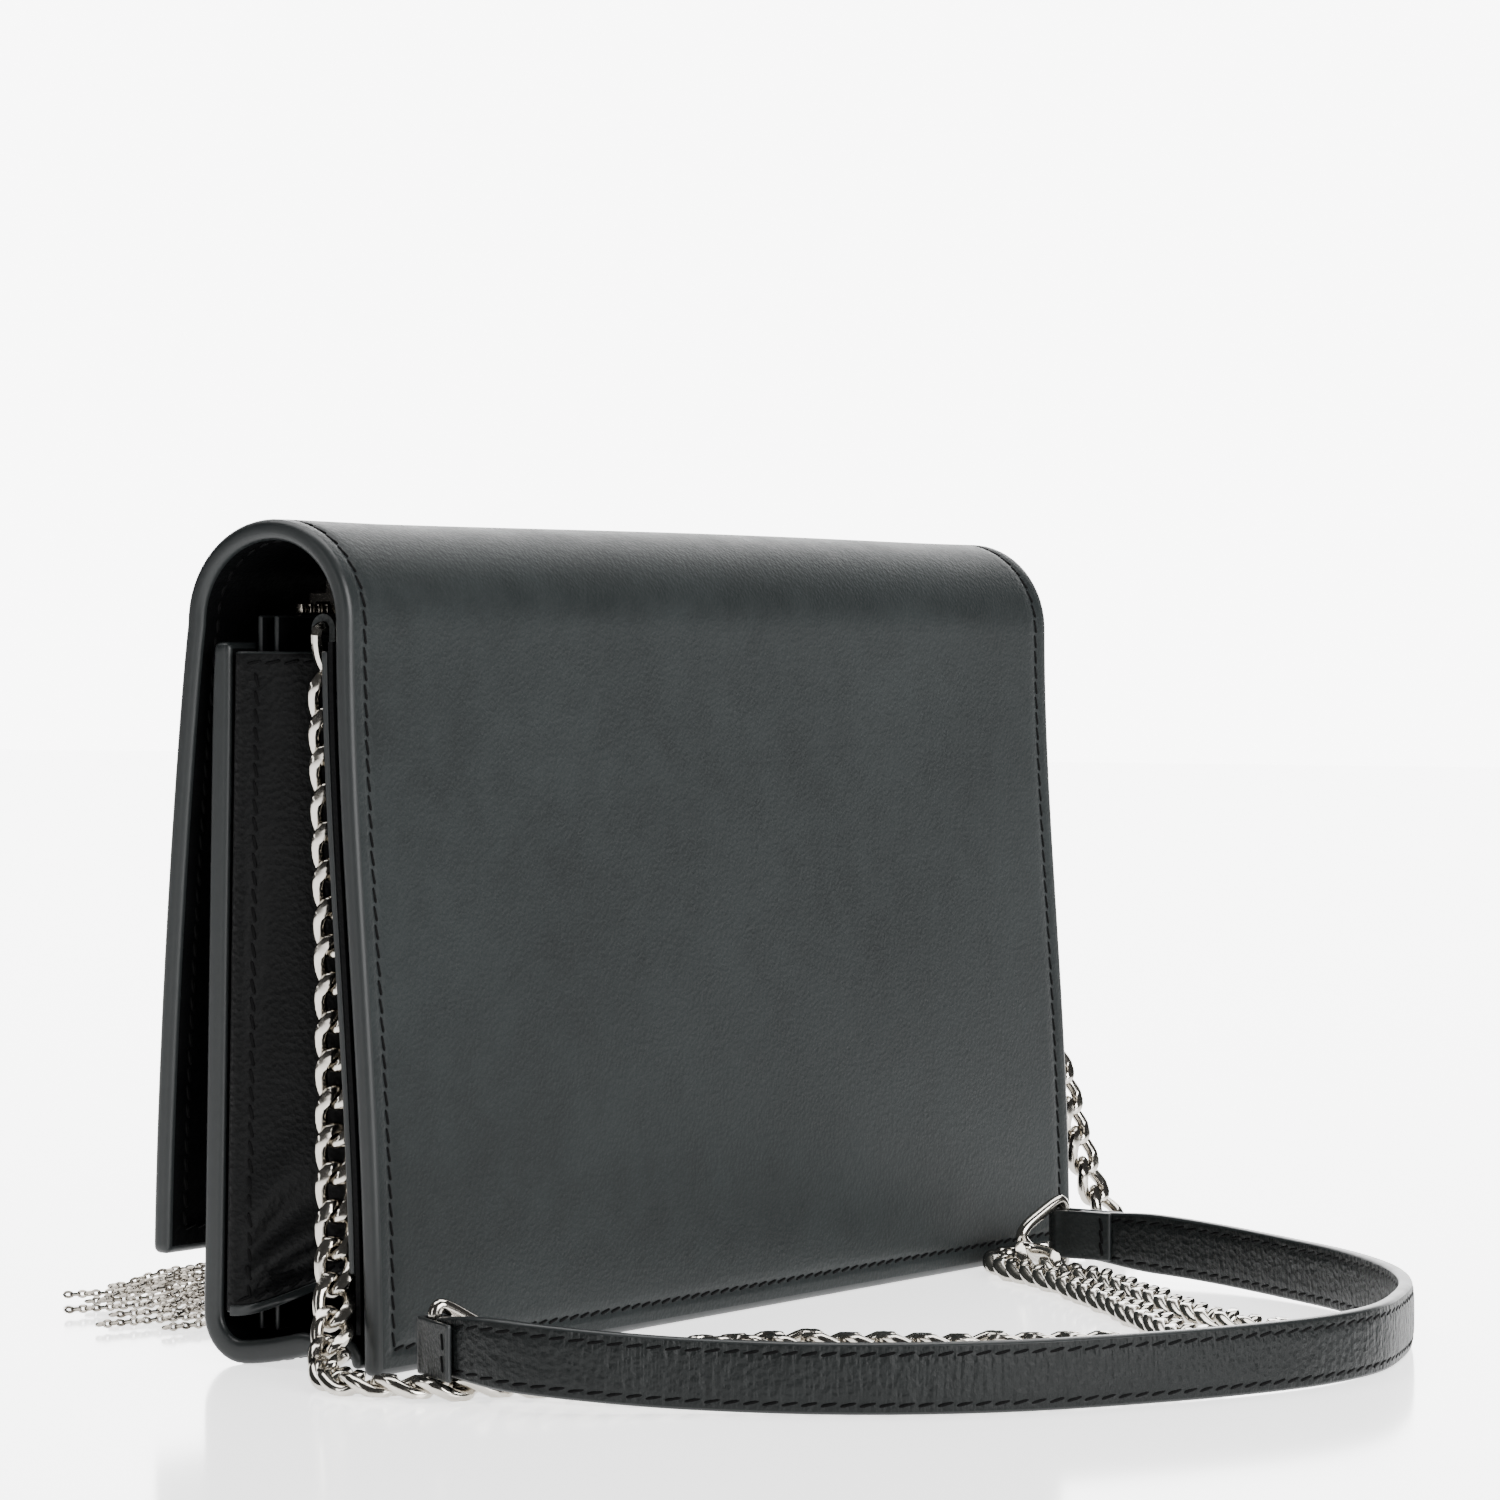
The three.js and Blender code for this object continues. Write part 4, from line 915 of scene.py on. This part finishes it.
low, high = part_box("tassel_cap")
cap_y = (low.y + high.y) / 2
cap_foot = low.z
cap_top = cap_foot + 0.010
profile = [(0, cap_top), (0.0024, cap_top - 0.0004), (0.0042, cap_top - 0.002), (0.0053, cap_top - 0.0046),
           (0.0058, cap_foot + 0.0012), (0.0060, cap_foot + 0.0007), (0.0058, cap_foot), (0.0050, cap_foot),
           (0.0044, cap_top - 0.0048), (0.0034, cap_top - 0.0026), (0, cap_top - 0.0022)]
bm = bmesh.new()
spots = [bm.verts.new((r, 0, z)) for r, z in profile]
edges = [bm.edges.new(pair) for pair in zip(spots, spots[1:])]
bmesh.ops.spin(bm, geom=spots + edges, cent=(0, 0, 0), axis=(0, 0, 1), angle=math.tau, steps=40, use_merge=True)
bmesh.ops.remove_doubles(bm, verts=bm.verts, dist=1e-6)
bmesh.ops.translate(bm, verts=bm.verts, vec=(0, cap_y, 0))
cap = finish_mesh("tassel_bell", to_mesh("tassel_bell", bm), [nickel], "tassel", math.radians(30))
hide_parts("tassel_cap")
cap_eye_z = high.z - 0.0038
cap_eye = [(0, cap_y + 0.003 * math.cos(a), cap_eye_z + 0.003 * math.sin(a))
           for a in (i * math.tau / 12 for i in range(12))]
finish_mesh("tassel_bell_eye", wire_ring("tassel_bell_eye", cap_eye, (1, 0, 0), 0.0008), [nickel], "tassel")

CABLE_PITCH = 0.00112
cable_loop = []
for i in range(8):
    a = i * math.tau / 8
    cable_loop.append((0.00072 * math.cos(a), 0.00046 * math.sin(a), 0))
cable_link = wire_ring("cable_link", cable_loop, (0, 0, 1), 0.00024, steps=10, sides=5)


def strand_line(heading, reach, row, place, bow, lift_end=0.0):
    fan = math.radians(-27)
    way = math.radians(heading)
    x0 = (row * math.cos(fan) - place * math.sin(fan)) * 0.0023
    y0 = cap_y + (row * math.sin(fan) + place * math.cos(fan)) * 0.0023
    lift = 0.0023 if row > 0 else 0.0

    def spot(share, z):
        swing = bow / 1000 * math.sin(math.pi * share)
        return Vector((x0 + reach / 1000 * share * math.cos(way) - swing * math.sin(way),
                       y0 + reach / 1000 * share * math.sin(way) + swing * math.cos(way), z))

    ground = 0.0010
    heights = [(0, cap_foot + 0.0026), (0.005, cap_foot - 0.004), (0.02, 0.016 + lift), (0.055, 0.009 + lift),
               (0.12, ground + 0.0022 + lift), (0.22, ground + lift), (0.36, ground + lift),
               (0.52, ground + lift * 0.55), (0.68, ground + lift_end), (0.84, ground + lift_end), (1, ground)]
    return Route([spot(share, z) for share, z in heights])


def lay_strand(name, line, node=None):
    count = round(line.length / CABLE_PITCH)
    matrices = []
    for i in range(count):
        s = (i + 0.5) * line.length / count
        ahead = line.along(s, 0.001)
        side = ahead.cross(Vector((0.31, 0.22, 0.92))).normalized()
        up = side.cross(ahead)
        roll = math.radians(45 + 90 * (i % 2)) + 0.25 * math.sin(i * 1.7)
        side, up = side * math.cos(roll) + up * math.sin(roll), up * math.cos(roll) - side * math.sin(roll)
        place = Matrix((ahead, side, up)).transposed().to_4x4()
        place.translation = line.point(s)
        matrices.append(place)
    piece = finish_mesh(name, copies(name, cable_link, matrices), [fine_nickel], "tassel")
    if node:
        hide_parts(node)
    tuple(line.point(0))
    line.path()


strands = [(-9, 76, -0.5, 1.5, 3), (-15, 79, 0.5, 1, 2), (-21, 74, -0.5, 0.5, 1), (-27, 75, 0.5, 0, -1),
           (-33, 71, -0.5, -0.5, -2), (-40, 70, 0.5, -1, -3), (-47, 64, -0.5, -1.5, -3)]
for i in range(24):
    strands.append((-7 - 1.8 * i - 1.5 * math.sin(i * 2.3), 59 + 7 * math.sin(i * 1.9), 0.9 * (-1) ** i,
                    1.7 - 0.15 * i, 3.2 * math.sin(i * 2.9), 0.0010 + 0.0010 * (i % 3)))
for i, strand in enumerate(strands):
    lay_strand("fine_chain_%d" % (i + 1), strand_line(*strand), "tassel_strand_%d" % (i + 1) if i < 7 else None)


# ---- strap rings and end loops ----
def strap_end(name, ring_node, loop_node, place, facing, strap_start):
    facing = Vector((*facing, 0)).normalized()
    centre = at(*place)
    tall = 0.00535
    outline = [(9, 0), (8.1, 1.4), (4.95, 3.4), (1.98, 4.98), (0.7, 5.35), (0, 4.5), (0, 2.4), (0, -2.4), (0, -4.5),
               (0.7, -5.35), (1.98, -4.98), (4.95, -3.4), (8.1, -1.4)]
    points = [centre + facing * u / 1000 + Vector((0, 0, w / 1000)) for u, w in outline]
    wire = finish_mesh(name + "_wire", wire_ring(name + "_wire", points, facing.cross(Vector((0, 0, 1))), 0.00095, 56),
                       [nickel], "body")
    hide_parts(ring_node)
    toward = strap_start - centre
    toward.z = 0
    toward.normalize()
    side = Vector((-toward.y, toward.x, 0))
    round_bar = [(-2.45 * math.cos(a), 2.45 * math.sin(a)) for a in (math.radians(d) for d in range(-110, 111, 22))]
    outline = [(10.2, -2.05), (6.2, -2.15), (3.0, -2.35), *round_bar, (3.0, 2.35), (6.2, 2.15), (10.2, 2.05)]
    line = Route([centre + toward * u / 1000 + side * w / 1000 for u, w in outline])
    height = 0.0039

    def spot(u, v, w):
        ahead = line.along(u, 0.0004)
        s = line.point(u)
        inward = Vector((ahead.y, -ahead.x, 0))
        if inward.dot(centre + toward * 0.003 - s) < 0:
            inward = -inward
        return s + inward * 0.00085 * w + Vector((0, 0, v * height))

    mesh = slab(name + "_loop", spread(0, line.length, 70), spread(-1, 1, 12), spot, bevel=0.0003, segments=3)
    loop = finish_mesh(name + "_loop", mesh, [body_leather, edge_paint, body_leather], "body")
    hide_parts(loop_node)
    seams = []
    for turn in (1, -1):
        base = centre + toward * 0.0086 + side * turn * 0.00212
        seams.append(([base + Vector((0, 0, z)) for z in spread(-0.003, 0.003, 4)], [side * turn] * 5))
    sew(name + "_stitches", seams, "body", pitch=0.0024)


strap_end("strap_right", "strap_ring_right", "strap_loop_right", (104.2, 33.5, 7.0), (-0.931, 0.365), strap.point(0.004))
strap_end("strap_left", "strap_ring_left", "strap_loop_left", (-67.6, 31, 6.6), (0.944, -0.331),
          strap.point(strap.length - 0.004))

# ---- floor, background and lights ----
bm = bmesh.new()
bmesh.ops.create_grid(bm, x_segments=1, y_segments=1, size=4.0)
floor = bpy.data.objects.new("floor", to_mesh("floor", bm))
bpy.context.collection.objects.link(floor)
floor.location = (0, 0, -0.0001)
floor_look = Paint("floor", (0.9, 0.9, 0.9), 0.12, specular_ior_level=0.4, emission_color=(1, 1, 1, 1), emission_strength=1.7)
floor.data.materials.append(floor_look.material)

world = bpy.data.worlds.new("studio")
bpy.context.scene.world = world
world.use_nodes = True
sky = world.node_tree.nodes["Background"]
around = world.node_tree.nodes.new("ShaderNodeTexCoord")
toward_backdrop = world.node_tree.nodes.new("ShaderNodeVectorMath")
toward_backdrop.operation = "DOT_PRODUCT"
toward_backdrop.inputs[1].default_value = (-VIEW[0], -VIEW[1], 0)
glow = world.node_tree.nodes.new("ShaderNodeMapRange")
glow.interpolation_type = "SMOOTHSTEP"
for socket, value in zip(glow.inputs[1:5], (0.68, 0.96, 0.06, 8.5)):
    socket.default_value = value
world.node_tree.links.new(around.outputs["Generated"], toward_backdrop.inputs[0])
world.node_tree.links.new(toward_backdrop.outputs["Value"], glow.inputs[0])
world.node_tree.links.new(glow.outputs[0], sky.inputs["Strength"])
sky.inputs["Color"].default_value = (1, 1, 1, 1)


def soft_light(name, place, aim, size, power):
    data = bpy.data.lights.new(name, "AREA")
    data.shape = "RECTANGLE"
    data.size, data.size_y = size
    data.energy = power
    lamp = bpy.data.objects.new(name, data)
    bpy.context.collection.objects.link(lamp)
    lamp.location = place
    lamp.rotation_euler = (Vector(aim) - Vector(place)).to_track_quat("-Z", "Y").to_euler()


soft_light("overhead", (-0.1, -0.1, 1.0), (0, 0, 0.05), (1.4, 0.7), 19.0)
soft_light("behind", (0.35, 1.3, 0.55), (0, 0, 0.05), (1.0, 0.8), 34.0)
soft_light("end_strip", (1.3, -0.35, 0.45), (0.09, 0, 0.05), (0.2, 0.7), 2.5)
